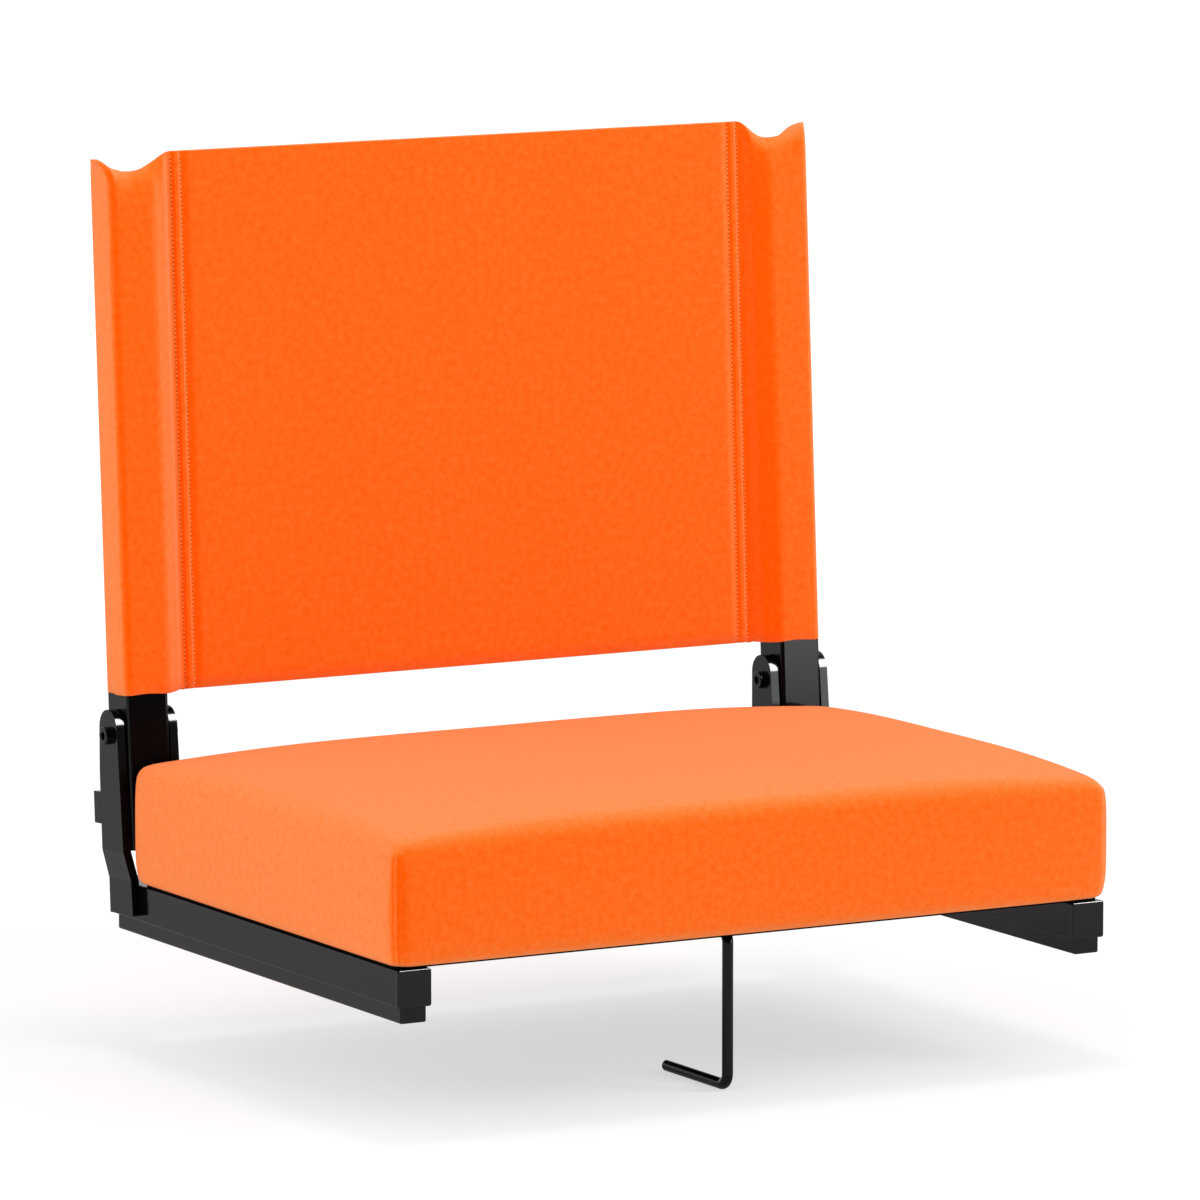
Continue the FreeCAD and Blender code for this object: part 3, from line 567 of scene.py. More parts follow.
def round_upright_corners(x, y, reach_x, reach_y, radius):
    """Rounds the four corners in plan, inside the outline that the points reach."""
    past_x, past_y = np.abs(x) - (reach_x - radius), np.abs(y) - (reach_y - radius)
    at_corner = (past_x > 0) & (past_y > 0)
    shrink = np.where(at_corner, to_circle(past_x, past_y), 1)
    x = np.where(at_corner, np.sign(x) * (reach_x - radius + past_x * shrink), x)
    y = np.where(at_corner, np.sign(y) * (reach_y - radius + past_y * shrink), y)
    return x, y


def rounded_block(unit):
    """The box in millimetres with its edges rounded; rear edges are softer, rear corners tighter."""
    x, y, z = unit[:, 0] * HALF_X, unit[:, 1] * HALF_Y, (unit[:, 2] + 1) / 2 * EDGE
    behind = unit[:, 1]
    to_corner = np.minimum(np.abs(unit[:, 0]), np.abs(behind)) ** CORNER_POWER
    tighter = (CORNER_TIGHTER + CORNER_MORE_BEHIND * behind) * to_corner
    top_round = TOP_ROUND + TOP_MORE_BEHIND * behind - tighter
    plan_round = PLAN_ROUND - PLAN_LESS_BEHIND * behind
    x, y, z, reach_x, reach_y = round_level_edges(x, y, z, top_round)
    return *round_upright_corners(x, y, reach_x, reach_y, plan_round), z


rounded = rounded_block(unit)
print("rounded block", [round(float(np.ptp(axis)), 1) for axis in rounded], "mm")

# %% [markdown]
# ## Crown and swell
#
# Foam stands higher in the middle of the seat and presses its sides out, and the seams hold the corners
# back. The height is stretched by the crown, the sides swell, and the seams pull them in again near the
# corners. The back swells by half as much, because the posts are close behind it.

# %% Fill the block out
CROWN_X = 5.6
CROWN_Y = 5.2
CROWN_POWER = 3.6
SWELL = 2.4
FULLEST = 0.42
SEAM_PULL = 0.6
SEAM_REACH = 8.0
SIDE_FROM_X = 0.9
SIDE_FROM_Y = 0.86
BACK_SHARE = 0.5


def swelled(place, half, start, bulge, from_seam):
    """Moves a side's points out by the bulge, less the seams' pull, which dies out exponentially."""
    on_side = smoothstep(start, 1, np.abs(place) / half)
    return place + np.sign(place) * (bulge - SEAM_PULL * np.exp(-from_seam / SEAM_REACH)) * on_side


def cushion_shape(unit, x, y, z):
    """Places of the cushion's points in millimetres.

    The crown falls off from the middle as a power of the distance, across and along. The sides swell by one
    less a high power of the distance from their fullest height.
    """
    across, along = np.clip(np.abs(x) / HALF_X, 0, 1), np.clip(np.abs(y) / HALF_Y, 0, 1)
    lift = CROWN_X * (1 - across**CROWN_POWER) + CROWN_Y * (1 - along**CROWN_POWER)
    tall = z / EDGE
    above, below = (tall - FULLEST) / (1 - FULLEST), (FULLEST - tall) / FULLEST
    bulge = SWELL * np.where(tall > FULLEST, 1 - np.abs(above) ** 5, 1 - np.abs(below) ** 4)
    x = swelled(x, HALF_X, SIDE_FROM_X, bulge, HALF_Y * (1 - np.abs(unit[:, 1])))
    bulge = np.where(y > 0, BACK_SHARE, 1.0) * bulge
    y = swelled(y, HALF_Y, SIDE_FROM_Y, bulge, HALF_X * (1 - np.abs(unit[:, 0])))
    return np.stack([x, y + MID_Y, z * (1 + lift / EDGE) + LOW_Z], axis=-1)


cushion = mesh_piece("seat_cushion", cushion_shape(unit, *rounded) * MM, cushion_quads, "seat_frame")
close_up(cushion)
print("block", [round(v * 1000, 1) for v in cushion.dimensions], "points", len(cushion.data.vertices))

# %% [markdown]
# ## Where the cover is held
#
# A cover is sewn a little smaller than its foam, so the foam presses it out between the seams. It is held
# where it is sewn, along the four corner seams, and under the seat where it is stapled. Those points are
# found by their distance from the block's sides.

# %% Find the held points
SEAM_BAND = 3.5
SEAM_TOP = LOW_Z + EDGE - 5
STAPLED_BAND = 2.5


def read(items, label, kind, width):
    """A row of numbers for each item of a mesh, as an array."""
    flat = np.empty(len(items) * width, kind)
    items.foreach_get(label, flat)
    return flat.reshape(-1, width)


def places(mesh):
    """The mesh's points as an array."""
    return read(mesh.vertices, "co", np.float32, 3).astype(float)


block = places(cushion.data) / MM
side_x = HALF_X - np.abs(block[:, 0])
side_y = HALF_Y - np.abs(block[:, 1] - MID_Y)
on_seam = (side_x < SEAM_BAND) & (side_y < SEAM_BAND) & (block[:, 2] < SEAM_TOP)
held = on_seam | (block[:, 2] < LOW_Z + STAPLED_BAND)
print("held points", int(held.sum()), "of", len(block))

# %% [markdown]
# ## Letting the foam fill the cover
#
# The block is treated as cloth with pressure inside and no weight. Foam is thick and irons out the
# cloth's finer folds, so the travel is evened out between neighbours, and it is bent towards a limit,
# because a well-filled cushion hardly moves. The same start always gives the same cushion.

# %% Pressure in the cover
COVER_CLOTH = {
    "quality": 5,
    "mass": 0.3,
    "tension_stiffness": 20,
    "compression_stiffness": 20,
    "shear_stiffness": 8,
    "bending_stiffness": 8,
    "use_pressure": True,
    "uniform_pressure_force": 4,
    "vertex_group_mass": "sewn",
}
LAST_FRAME = 20
EVENING_ROUNDS = 60
TRAVEL_LIMIT = 0.8


def evened(travel, held, edges, rounds):
    """Each point's travel averaged with its neighbours' a number of times; held points stay."""
    count = np.maximum(np.bincount(edges.ravel(), minlength=len(travel)), 1)[:, None]
    one, other = np.concatenate([edges, edges[:, ::-1]]).T
    for _ in range(rounds):
        near = [np.bincount(one, travel[other, k], len(travel)) for k in range(3)]
        travel = np.where(held[:, None], 0, (travel + np.stack(near, axis=-1) / count) / 2)
    return travel


def move_to(piece, spots):
    """Puts the mesh's points at new places, in metres."""
    piece.data.vertices.foreach_set("co", spots.astype(np.float32).ravel())
    piece.data.update()


def press_out(piece, held, limit):
    """Runs the cover as cloth under pressure with some points held, and keeps the evened, limited travel."""
    start = places(piece.data)
    group = piece.vertex_groups.new(name="sewn")
    group.add(np.flatnonzero(held).tolist(), 1.0, "REPLACE")
    settings = piece.modifiers.new("pressure", "CLOTH").settings
    for label, value in COVER_CLOTH.items():
        setattr(settings, label, value)
    settings.effector_weights.gravity = 0
    for number in range(1, LAST_FRAME + 1):
        bpy.context.scene.frame_set(number)
    ready = piece.evaluated_get(bpy.context.evaluated_depsgraph_get())
    travel = places(ready.data) - start
    bpy.context.scene.frame_set(1)
    piece.modifiers.clear()
    piece.vertex_groups.clear()
    travel = evened(travel, held, read(piece.data.edges, "vertices", np.int32, 2), EVENING_ROUNDS)
    size = np.maximum(np.linalg.norm(travel, axis=1), 1e-9)[:, None]
    travel = travel / size * limit * np.tanh(size / limit)
    move_to(piece, start + travel)
    print("pressed out by up to", round(float(np.linalg.norm(travel, axis=1).max()) * 1000, 2), "mm")


press_out(cushion, held, TRAVEL_LIMIT * MM)

# %% [markdown]
# ## The corner seams
#
# Down each corner the two edges of the cover are turned in and sewn. From outside that shows as a fine
# ridge with a crease on both sides. The points near the corner are moved along the corner's diagonal: out
# for the ridge and in for the creases, fading out at the top where the seam ends. Bump in the finish
# would be too flat here, because the corner is seen against the floor.

# %% Ridge and creases
RIDGE = 0.1
RIDGE_WIDTH = 1.0
CREASE = 0.35
CREASE_OFF = 2.2
CREASE_WIDTH = 1.1
SEAM_NEAR = 12
FADE_FROM = LOW_Z + EDGE - 8
FADE_TO = LOW_Z + EDGE - 1


def corner_seams(piece):
    """Moves points near the upright corners by a ridge and two creases, each a bell curve."""
    spots = places(piece.data) / MM
    out = np.stack([np.sign(spots[:, 0]), np.sign(spots[:, 1] - MID_Y)], axis=-1) * math.sqrt(0.5)
    off = np.abs(side_x - side_y)
    near = (side_x < SEAM_NEAR) & (side_y < SEAM_NEAR)
    fade = 1 - smoothstep(FADE_FROM, FADE_TO, block[:, 2])
    ridge = RIDGE * np.exp(-((off / RIDGE_WIDTH) ** 2))
    fold = ridge - CREASE * np.exp(-(((off - CREASE_OFF) / CREASE_WIDTH) ** 2))
    spots[:, :2] += out * (fold * fade * near)[:, None]
    move_to(piece, spots * MM)


corner_seams(cushion)
made = places(cushion.data)
print("cushion from", made.min(axis=0).round(4), "to", made.max(axis=0).round(4))

# %% [markdown]
# ## The cushion's cloth
#
# The cover is cut from flat panels, so each side has its own straight weave. Its map takes, for every
# face, the two axes that the face lies along. One subdivision then rounds what is left of the facets.

# %% Map the cover and finish the cushion
def map_by_side(piece):
    """Cloth map of a boxy piece: each face takes the two axes that it lies along."""
    mesh = piece.data
    corner = read(mesh.loops, "vertex_index", np.int32, 1)[:, 0]
    facing = np.abs(read(mesh.polygons, "normal", np.float32, 3)).argmax(axis=1)
    facing = np.repeat(facing, read(mesh.polygons, "loop_total", np.int32, 1)[:, 0])
    first = np.where(facing == 0, 1, 0)
    second = np.where(facing == 2, 1, 2)
    spots = places(mesh)
    uv = np.stack([spots[corner, first], spots[corner, second]], axis=-1)
    mesh.uv_layers.new(name="cloth").data.foreach_set("uv", uv.astype(np.float32).ravel())


map_by_side(cushion)
soften = cushion.modifiers.new("soften", "SUBSURF")
soften.levels = 1
soften.render_levels = 1
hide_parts("seat_cover", "seat_foam")
print("cushion faces", len(cushion.data.polygons))

# %% [markdown]
# ## Nodes in few words
#
# A finish is a tree of nodes. Three helpers keep it readable: one feeds a socket with a number, a colour
# or another node, one adds a sum, and one adds a noise. They work in a material and in a node group
# alike.

# %% Node helpers
def feed(tree, socket, value):
    """Links another node's output to a socket, or sets a number or a colour on it."""
    if isinstance(value, bpy.types.NodeSocket):
        tree.links.new(value, socket)
    elif isinstance(value, tuple):
        socket.default_value = (*value, 1)
    else:
        socket.default_value = value


def sum_node(tree, operation, *values):
    """A math node, fed with one or two values."""
    node = tree.nodes.new("ShaderNodeMath")
    node.operation = operation
    for socket, value in zip(node.inputs, values):
        feed(tree, socket, value)
    return node.outputs[0]


def noise(tree, place, scale, detail):
    """A noise value about a half, for places in metres."""
    node = tree.nodes.new("ShaderNodeTexNoise")
    for label, value in (("Vector", place), ("Scale", scale), ("Detail", detail)):
        feed(tree, node.inputs[label], value)
    return node.outputs[0]


print("node helpers", [helper.__name__ for helper in (feed, sum_node, noise)])

# %% [markdown]
# ## Shared effects
#
# Four effects are node groups, each with a place as its input. Orange peel, the fine ripple of a baked
# powder coat, and handling, a broad unevenness of the gloss, serve all the hard finishes. The cloth has
# two: a plain weave crosses two sets of threads and shows whichever lies on top, and a heather is the
# soft mottle of spun yarn.

# %% Effect groups
def effect(name, output, *numbers):
    """A new node group that takes a place and some numbers; returns it with its inputs and its result."""
    group = bpy.data.node_groups.new(name, "ShaderNodeTree")
    group.interface.new_socket("Place", in_out="INPUT", socket_type="NodeSocketVector")
    for label in numbers:
        group.interface.new_socket(label, in_out="INPUT", socket_type="NodeSocketFloat")
    group.interface.new_socket(output, in_out="OUTPUT", socket_type="NodeSocketFloat")
    given = group.nodes.new("NodeGroupInput").outputs
    return group, given, group.nodes.new("NodeGroupOutput").inputs[output]


def weave_group():
    """Two crossed sine waves; where their product is positive the warp shows, and elsewhere the weft."""
    group, given, result = effect("plain_weave", "Height", "Threads")
    apart = group.nodes.new("ShaderNodeSeparateXYZ")
    group.links.new(given["Place"], apart.inputs[0])
    waves = []
    for axis in ("X", "Y"):
        turns = sum_node(group, "MULTIPLY", apart.outputs[axis], given["Threads"])
        waves.append(sum_node(group, "SINE", sum_node(group, "MULTIPLY", turns, math.pi)))
    on_top = sum_node(group, "GREATER_THAN", sum_node(group, "MULTIPLY", *waves), 0.0)
    warp = sum_node(group, "MULTIPLY", sum_node(group, "ABSOLUTE", waves[0]), on_top)
    under = sum_node(group, "SUBTRACT", 1.0, on_top)
    weft = sum_node(group, "MULTIPLY", sum_node(group, "ABSOLUTE", waves[1]), under)
    group.links.new(sum_node(group, "ADD", warp, weft), result)
    return group


def heather_group():
    """The mean of a noise as broad as a few yarns and one as fine as a fibre."""
    group, given, result = effect("heather", "Tone")
    broad = noise(group, given["Place"], scale=260, detail=3)
    fine = noise(group, given["Place"], scale=1100, detail=2)
    both = sum_node(group, "ADD", broad, fine)
    group.links.new(sum_node(group, "MULTIPLY", both, 0.5), result)
    return group


def noise_group(name, output, scale, detail):
    """An effect that is a single noise."""
    group, given, result = effect(name, output)
    group.links.new(noise(group, given["Place"], scale, detail), result)
    return group


weave = weave_group()
heather = heather_group()
peel = noise_group("orange_peel", "Height", scale=650, detail=1)
handling = noise_group("handling", "Gloss", scale=22, detail=3)
print("effects", [group.name for group in (weave, heather, peel, handling)])

# %% [markdown]
# ## Parts of a finish
#
# Every finish starts from an empty material with one principled shader. Whatever is the same all over is
# set on the shader's own sockets, and only what changes over the surface is linked: a colour from a ramp
# or a blend, or a bump from a height.

# %% Material helpers
MIX_FIRST = 6
MIX_SECOND = 7
MIX_COLOUR = 2


def new_material(name):
    """A material with an empty node tree, and its output."""
    material = bpy.data.materials.new(name)
    material.use_nodes = True
    material.node_tree.nodes.clear()
    output = material.node_tree.nodes.new("ShaderNodeOutputMaterial")
    return material, material.node_tree, output


def shader(tree, output, colour, rough, **sockets):
    """A principled shader with its constants set on its sockets."""
    node = tree.nodes.new("ShaderNodeBsdfPrincipled")
    node.inputs["Base Color"].default_value = (*colour, 1)
    node.inputs["Roughness"].default_value = rough
    for label, value in sockets.items():
        node.inputs[label.replace("_", " ")].default_value = value
    tree.links.new(node.outputs[0], output.inputs["Surface"])
    return node


def effect_node(tree, group, place, **numbers):
    """A group in a material, fed with a place."""
    node = tree.nodes.new("ShaderNodeGroup")
    node.node_tree = group
    tree.links.new(place, node.inputs["Place"])
    for label, value in numbers.items():
        node.inputs[label].default_value = value
    return node.outputs[0]


def blend(tree, share, first, second):
    """A colour that goes from the first to the second as the share goes from 0 to 1."""
    node = tree.nodes.new("ShaderNodeMix")
    node.data_type = "RGBA"
    feed(tree, node.inputs["Factor"], share)
    feed(tree, node.inputs[MIX_FIRST], first)
    feed(tree, node.inputs[MIX_SECOND], second)
    return node.outputs[MIX_COLOUR]


def raised(tree, target, height, strength, distance):
    """A bump on a shader, from a height."""
    node = tree.nodes.new("ShaderNodeBump")
    for label, value in (("Strength", strength), ("Distance", distance), ("Height", height)):
        feed(tree, node.inputs[label], value)
    tree.links.new(node.outputs[0], target.inputs["Normal"])


def colours_along(tree, value, stops):
    """A ramp of colours, given as pairs of place and colour."""
    node = tree.nodes.new("ShaderNodeValToRGB")
    spots = node.color_ramp.elements
    while len(spots) < len(stops):
        spots.new(0.5)
    for spot, (place, _) in zip(spots, stops):
        spot.position = place
    for spot, (_, colour) in zip(spots, stops):
        spot.color = (*colour, 1)
    tree.links.new(value, node.inputs[0])
    return node.outputs[0]


def ramp(tree, value, span, result):
    """A value carried from one range to another, and held at both ends."""
    node = tree.nodes.new("ShaderNodeMapRange")
    for label, number in zip(("From Min", "From Max", "To Min", "To Max"), (*span, *result)):
        node.inputs[label].default_value = number
    tree.links.new(value, node.inputs["Value"])
    return node.outputs["Result"]


material_helpers = (new_material, shader, effect_node, blend, raised, colours_along, ramp)
print("material helpers", [helper.__name__ for helper in material_helpers])

# %% [markdown]
# ## The orange cloth
#
# The cloth is a tight woven polyester with a short nap. Seen square on it is a deep orange. Its sheen is
# painted into the colour: a ramp by the angle to the viewer paints the cloth paler at a glancing angle, so
# the top of the seat and its side look lighter whatever the light. Square on is 0 and edge on is 1 when
# the angle's sine is squared, and the ramp gives the painted sheen. The heather moves it a little from yarn
# to yarn, and the weave is a bump too fine to count at a distance. Gloss rays see a painted dark cloth
# colour, so the black coat mirrors it only faintly.

# %% Orange cloth
# Painted sheen: the cloth's colour from square on (0) to edge on (1), paler towards the edge.
PAINTED_SHEEN_RAMP = [
    (0.0, (0.985, 0.102, 0.0016)),
    (0.25, (0.99, 0.147, 0.0134)),
    (0.5, (0.99, 0.195, 0.034)),
    (0.8, (1.0, 0.254, 0.0745)),
    (1.0, (1.0, 0.289, 0.107)),
]
# Painted dark reflection: the colour the cloth has for gloss rays.
PAINTED_DARK_REFLECTION = (0.1, 0.014, 0.001)
THREADS_A_METRE = 1700.0
WEAVE_STRENGTH = 0.25
BUMP_DEPTH = 0.0001


def cloth_place(tree):
    """The place on the cloth's own map."""
    node = tree.nodes.new("ShaderNodeUVMap")
    node.uv_map = "cloth"
    return node.outputs[0]


def orange_cloth():
    """Napped cloth: painted sheen by the angle to the viewer, moved by the heather, painted dark for gloss
    rays; weave as bump.
    """
    material, tree, output = new_material("orange_cloth")
    cloth = shader(tree, output, PAINTED_SHEEN_RAMP[1][1], 0.9, Specular_IOR_Level=0.0)
    turned = tree.nodes.new("ShaderNodeLayerWeight").outputs["Facing"]
    glance = sum_node(tree, "MULTIPLY", turned, sum_node(tree, "SUBTRACT", 2.0, turned))
    place = cloth_place(tree)
    yarn = sum_node(tree, "SUBTRACT", effect_node(tree, heather, place), 0.5)
    # The ramp paints the sheen into the base colour by the angle to the viewer.
    painted_sheen = colours_along(tree, sum_node(tree, "ADD", glance, yarn), PAINTED_SHEEN_RAMP)
    # Gloss rays get the painted dark colour instead of the painted sheen.
    in_gloss = tree.nodes.new("ShaderNodeLightPath").outputs["Is Glossy Ray"]
    tree.links.new(blend(tree, in_gloss, painted_sheen, PAINTED_DARK_REFLECTION), cloth.inputs["Base Color"])
    threads = effect_node(tree, weave, place, Threads=THREADS_A_METRE)
    raised(tree, cloth, threads, WEAVE_STRENGTH, BUMP_DEPTH)
    return material


orange = orange_cloth()
for piece in (sling, cushion):
    piece.data.materials.append(orange)
print("cloth on", sling.name, "and", cushion.name)

# %% [markdown]
# ## The thread
#
# The thread is dyed like the cloth and stands out from it, so the top of each stitch would catch more
# light, and a painted highlight makes it paler. Its ends go down into the needle's holes, and painted shade
# makes them brown. A hole in the mesh for each stitch would cost many faces, so a ramp along the stitch
# paints both tones.

# %% Sewing thread
# Painted shade for the ends in the needle holes, and a painted highlight for the stitch's top.
PAINTED_HOLE_SHADE = (0.33, 0.045, 0.0)
PAINTED_STITCH_HIGHLIGHT = (1.0, 0.3, 0.06)
PAINTED_THREAD_SHADING = [(0.17, PAINTED_HOLE_SHADE), (0.27, PAINTED_STITCH_HIGHLIGHT), (0.73, PAINTED_STITCH_HIGHLIGHT), (0.83, PAINTED_HOLE_SHADE)]

thread, tree, output = new_material("sewing_thread")
yarn = shader(tree, output, PAINTED_STITCH_HIGHLIGHT, 0.8, Specular_IOR_Level=0.0)
spot = tree.nodes.new("ShaderNodeSeparateXYZ")
tree.links.new(cloth_place(tree), spot.inputs[0])
# The ramp paints the highlight in the middle of each stitch and the shade at both ends.
tree.links.new(colours_along(tree, spot.outputs["Y"], PAINTED_THREAD_SHADING), yarn.inputs["Base Color"])
sling_stitches.data.materials.append(thread)
print("thread on", sling_stitches.name)

# %% [markdown]
# ## Black coats, plastics and rubber
#
# Rails, posts, plates and hook are powder coated: a satin black with a fine ripple. The plugs, caps,
# clips and rings are moulded, so they are duller. The grip strips are rubber, and the pivot fittings are
# oxide black. Screws and staples are zinc plated. All are one kind of finish with other numbers, so one
# function makes them from a table.

# %% Hard finishes
BLACK = (0.002, 0.002, 0.002)
# Each finish is its colour, its roughness, how uneven that is, the strength of its ripple, and other sockets.
HARD_FINISHES = {
    "black_coat": ((0.002, 0.002, 0.0021), 0.14, 0.02, 0.04, {"Specular_IOR_Level": 0.3}),
    "black_plastic": (BLACK, 0.16, 0.02, 0.06, {"Specular_IOR_Level": 0.4}),
    "black_rubber": (BLACK, 0.2, 0.02, 0.08, {"Specular_IOR_Level": 0.33}),
    "black_hardware": (BLACK, 0.16, 0.02, 0.03, {"Specular_IOR_Level": 0.3}),
    "nylon": ((0.02, 0.02, 0.02), 0.5, 0.04, 0.05, {}),
    "black_sheet": ((0.0015, 0.0015, 0.0015), 0.6, 0.05, 0.3, {"Specular_IOR_Level": 0.03}),
    "zinc_steel": ((0.6, 0.6, 0.6), 0.35, 0.08, 0.05, {"Metallic": 1.0}),
}


def hard_finish(name, colour, rough, uneven, ripple, sockets):
    """A hard finish whose gloss is uneven by some amount, with a ripple as bump."""
    material, tree, output = new_material(name)
    coat = shader(tree, output, colour, rough, **sockets)
    place = tree.nodes.new("ShaderNodeTexCoord").outputs["Object"]
    gloss = ramp(tree, effect_node(tree, handling, place), (0, 1), (rough - uneven, rough + uneven))
    tree.links.new(gloss, coat.inputs["Roughness"])
    raised(tree, coat, effect_node(tree, peel, place), ripple, BUMP_DEPTH)
    return material


finishes = {name: hard_finish(name, *values) for name, values in HARD_FINISHES.items()}
print("hard finishes", sorted(finishes))

# %% [markdown]
# ## Plywood, and the finishes on their pieces
#
# The board inside is plywood, whose plies show as bands along its edge. They are a wave up the board's
# height, a little distorted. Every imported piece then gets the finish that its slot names.

# %% Plywood and slots
PLY_SCALE = 105
PLY_WANDER = 0.6
DARK_PLY = (0.45, 0.3, 0.17)
PALE_PLY = (0.66, 0.5, 0.33)


def plywood_finish():
    """Bands of two browns, stacked upwards."""
    material, tree, output = new_material("plywood")
    wood = shader(tree, output, (0.62, 0.46, 0.29), 0.7)
    plies = tree.nodes.new("ShaderNodeTexWave")
    plies.bands_direction = "Z"
    plies.inputs["Scale"].default_value = PLY_SCALE
    plies.inputs["Distortion"].default_value = PLY_WANDER
    tree.links.new(tree.nodes.new("ShaderNodeTexCoord").outputs["Object"], plies.inputs["Vector"])
    tree.links.new(blend(tree, plies.outputs["Fac"], DARK_PLY, PALE_PLY), wood.inputs["Base Color"])
    return material


finishes["plywood"] = plywood_finish()
slot_of = {part["node"]: part["material_slot"] for part in frame["record"]["subparts"]}
for name, item in frame["nodes"].items():
    item.data.materials.clear()
    item.data.materials.append(finishes.get(slot_of[name], orange))
print("finishes", sorted(finishes), "on", len(slot_of), "nodes")

# %% [markdown]
# ## Floor
#
# The seat stands in a white studio on a luminous table. The floor keeps the shadow and glows a little,
# which fills the seat's sides from below. It is one wide square, just under the hook's lowest point, so
# that its edge is never seen.

# %% The floor's square
FLOOR_Z = -0.0612
FLOOR_HALF = 25

scene = bpy.context.scene
scene.view_settings.view_transform = "Standard"
floor_mesh = bpy.data.meshes.new("floor")
floor_signs = ((-1, -1), (1, -1), (1, 1), (-1, 1))
floor_corners = [(x * FLOOR_HALF, y * FLOOR_HALF, FLOOR_Z) for x, y in floor_signs]
floor_mesh.from_pydata(floor_corners, [], [(0, 1, 2, 3)])
floor = bpy.data.objects.new("floor", floor_mesh)
scene.collection.objects.link(floor)
print("floor at", FLOOR_Z)

# %% [markdown]
# ## The floor's white
#
# The lamps only reach the middle of the floor, so for the camera it is lifted more with the distance from
# the seat, as a lit backdrop would be. In reflections its front part is unlit, because the black fronts
# would turn grey with it.

# %% White floor
FLOOR_SHADE = 0.45
FLOOR_FILL = 0.38
FLOOR_MIRRORED = 0.15
UNLIT_SPAN = (-2.2, -1.2)
LIFT_SPAN = (0.4, 3.2)
LIFT = (0.59, 0.76)

floor_white, tree, output = new_material("floor_white")
matte = tree.nodes.new("ShaderNodeBsdfDiffuse")
place = tree.nodes.new("ShaderNodeTexCoord").outputs["Object"]
distance = tree.nodes.new("ShaderNodeVectorMath")
distance.operation = "LENGTH"
tree.links.new(place, distance.inputs[0])
spot = tree.nodes.new("ShaderNodeSeparateXYZ")
tree.links.new(place, spot.inputs[0])
rays = tree.nodes.new("ShaderNodeLightPath").outputs
in_front = ramp(tree, spot.outputs["Y"], UNLIT_SPAN, (1.0, 0.0))
lit = sum_node(tree, "SUBTRACT", 1.0, sum_node(tree, "MULTIPLY", in_front, rays["Is Glossy Ray"]))
tree.links.new(sum_node(tree, "MULTIPLY", lit, FLOOR_SHADE), matte.inputs["Color"])
backdrop = ramp(tree, distance.outputs["Value"], LIFT_SPAN, LIFT)
seen = sum_node(tree, "MULTIPLY", backdrop, rays["Is Camera Ray"])
filling = sum_node(tree, "MULTIPLY", rays["Is Diffuse Ray"], FLOOR_FILL)
lit_gloss = sum_node(tree, "MULTIPLY", lit, rays["Is Glossy Ray"])
mirrored = sum_node(tree, "MULTIPLY", lit_gloss, FLOOR_MIRRORED)
glow = tree.nodes.new("ShaderNodeEmission")
level = sum_node(tree, "ADD", seen, sum_node(tree, "ADD", filling, mirrored))
tree.links.new(level, glow.inputs["Strength"])
both = tree.nodes.new("ShaderNodeAddShader")
tree.links.new(matte.outputs[0], both.inputs[0])
tree.links.new(glow.outputs[0], both.inputs[1])
tree.links.new(both.outputs[0], output.inputs["Surface"])
floor_mesh.materials.append(floor_white)
print("floor nodes", len(tree.nodes))

# %% [markdown]
# ## World
#
# The world gives an even, soft light from all sides. In reflections it is bright behind the seat and dark
# on the camera's side, as in a real studio where the wall behind the camera isn't lit. Black fronts have
# little to mirror there, so they stay black. The camera sees plain white.

# %% White world
WORLD_LEVEL = 0.7
DARK_SIDE = 0.05
BRIGHT_SIDE = 0.8
TURN_SPAN = (-0.1, 0.3)

world = bpy.data.worlds.new("studio")
scene.world = world
world.use_nodes = True
tree = world.node_tree
tree.nodes.clear()
towards = tree.nodes.new("ShaderNodeSeparateXYZ")
tree.links.new(tree.nodes.new("ShaderNodeTexCoord").outputs["Generated"], towards.inputs[0])
rays = tree.nodes.new("ShaderNodeLightPath").outputs
sharp = ramp(tree, towards.outputs["Y"], TURN_SPAN, (DARK_SIDE, BRIGHT_SIDE))
mirrored = sum_node(tree, "MAXIMUM", rays["Is Glossy Ray"], rays["Is Transmission Ray"])
even = sum_node(tree, "MULTIPLY", sum_node(tree, "SUBTRACT", 1.0, mirrored), WORLD_LEVEL)
level = sum_node(tree, "ADD", sum_node(tree, "MULTIPLY", sharp, mirrored), even)
sky = tree.nodes.new("ShaderNodeBackground")
sky.inputs["Color"].default_value = (1, 1, 1, 1)
tree.links.new(sum_node(tree, "MAXIMUM", level, rays["Is Camera Ray"]), sky.inputs["Strength"])
tree.links.new(sky.outputs[0], tree.nodes.new("ShaderNodeOutputWorld").inputs["Surface"])
print("world", world.name, "level", WORLD_LEVEL)

# %% [markdown]
# ## Lamps and cards
#
# Three soft boxes light the cloth: a tall one in front on the right, a wide one on the left for the
# seat's side, and a small one straight above, whose shadow lies under the seat. The black coat shows only
# what it mirrors. So three cards stand on the right that are seen in reflections alone: a bright one,
# which makes the glints on the hinge plates, a narrow one beside it for the edges on the left, and a dim
# low one, which greys the right post. The long flat faces of the posts and the stop bar would mirror the
# bright cards whole when the back is folded. So a collection lists the small fittings, and light linking
# shows those cards to them alone.

# %% Lamps
LONG_FACES = ("post_left", "post_right", "stop_bar")

fittings = bpy.data.collections.new("fittings")
for name, item in frame["nodes"].items():
    if name not in LONG_FACES:
        fittings.objects.link(item)


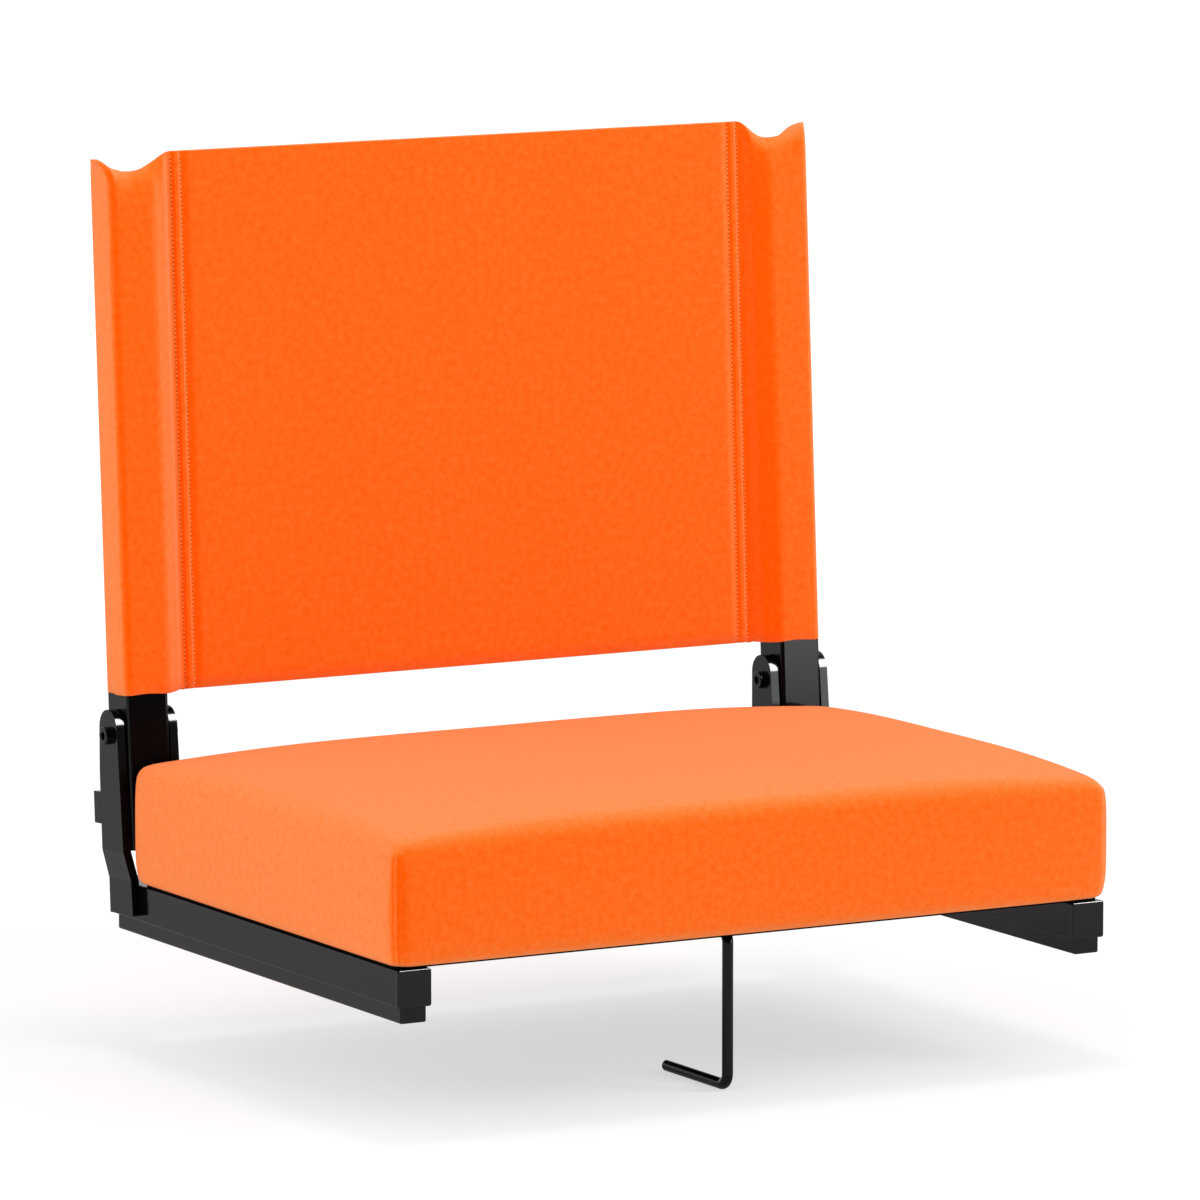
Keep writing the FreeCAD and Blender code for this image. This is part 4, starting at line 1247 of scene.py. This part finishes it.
def soft_box(name, place, aim, size, power, card=False, only=None):
    """A rectangular soft lamp that faces a point; a card is seen in reflections alone, a lamp in none."""
    data = bpy.data.lights.new(name, "AREA")
    data.shape = "RECTANGLE"
    data.size, data.size_y = size
    data.energy = power
    item = bpy.data.objects.new(name, data)
    item.location = place
    x, y, z = (a - p for a, p in zip(aim, place))
    item.rotation_euler = (math.atan2(math.hypot(x, y), -z), 0, math.atan2(y, x) - math.pi / 2)
    item.visible_glossy = card
    item.visible_diffuse = not card
    item.light_linking.receiver_collection = only
    scene.collection.objects.link(item)


soft_box("right_box", (1.75, -1.75, 1.35), (0, 0, 0.15), (0.8, 1.9), 25)
soft_box("left_box", (-2.4, -0.7, 1.0), (0, 0, 0.15), (1.8, 1.8), 20.5)
soft_box("top_box", (0.0, 0.0, 2.4), (0, 0.001, 0.1), (0.4, 0.4), 9)
soft_box("glint_card", (1.3, -1.18, 1.5), (0.05, 0.1, 0.15), (0.95, 1.9), 220, True, fittings)
soft_box("edge_card", (0.85, -1.6, 1.5), (-0.2, 0, 0.1), (0.32, 0.8), 31, True, fittings)
soft_box("low_card", (1.65, -1.6, 0.4), (0.1, 0.1, 0.15), (1.2, 0.85), 13, True)

# %% [markdown]
# ## Camera
#
# The camera stands about five metres off, to the left of the seat's front and a little above it, with a
# long lens, so that the rails look almost parallel. Its place and turn came from fitting about thirty
# corners of the seat to where they are in the picture, and the lens from the seat's size there.

# %% Camera
CAMERA_PLACE = (-2.50797, -4.43753, 0.91714)
LOOK_DOWN = 8.154
HEADING = -29.438

lens = bpy.data.cameras.new("camera")
lens.sensor_width = 36.0
lens.lens = 285.845
lens.clip_end = 100.0
camera = bpy.data.objects.new("camera", lens)
camera.location = CAMERA_PLACE
camera.rotation_euler = (math.radians(90 - LOOK_DOWN), 0, math.radians(HEADING))
scene.collection.objects.link(camera)
scene.camera = camera
print("camera", round(math.dist(CAMERA_PLACE, (0, 0, 0)), 2), "m from the seat")

# %% [markdown]
# ## Sizes
#
# The soft pieces may stand a little proud of the imported model, and no more.

# %% Sizes
import json
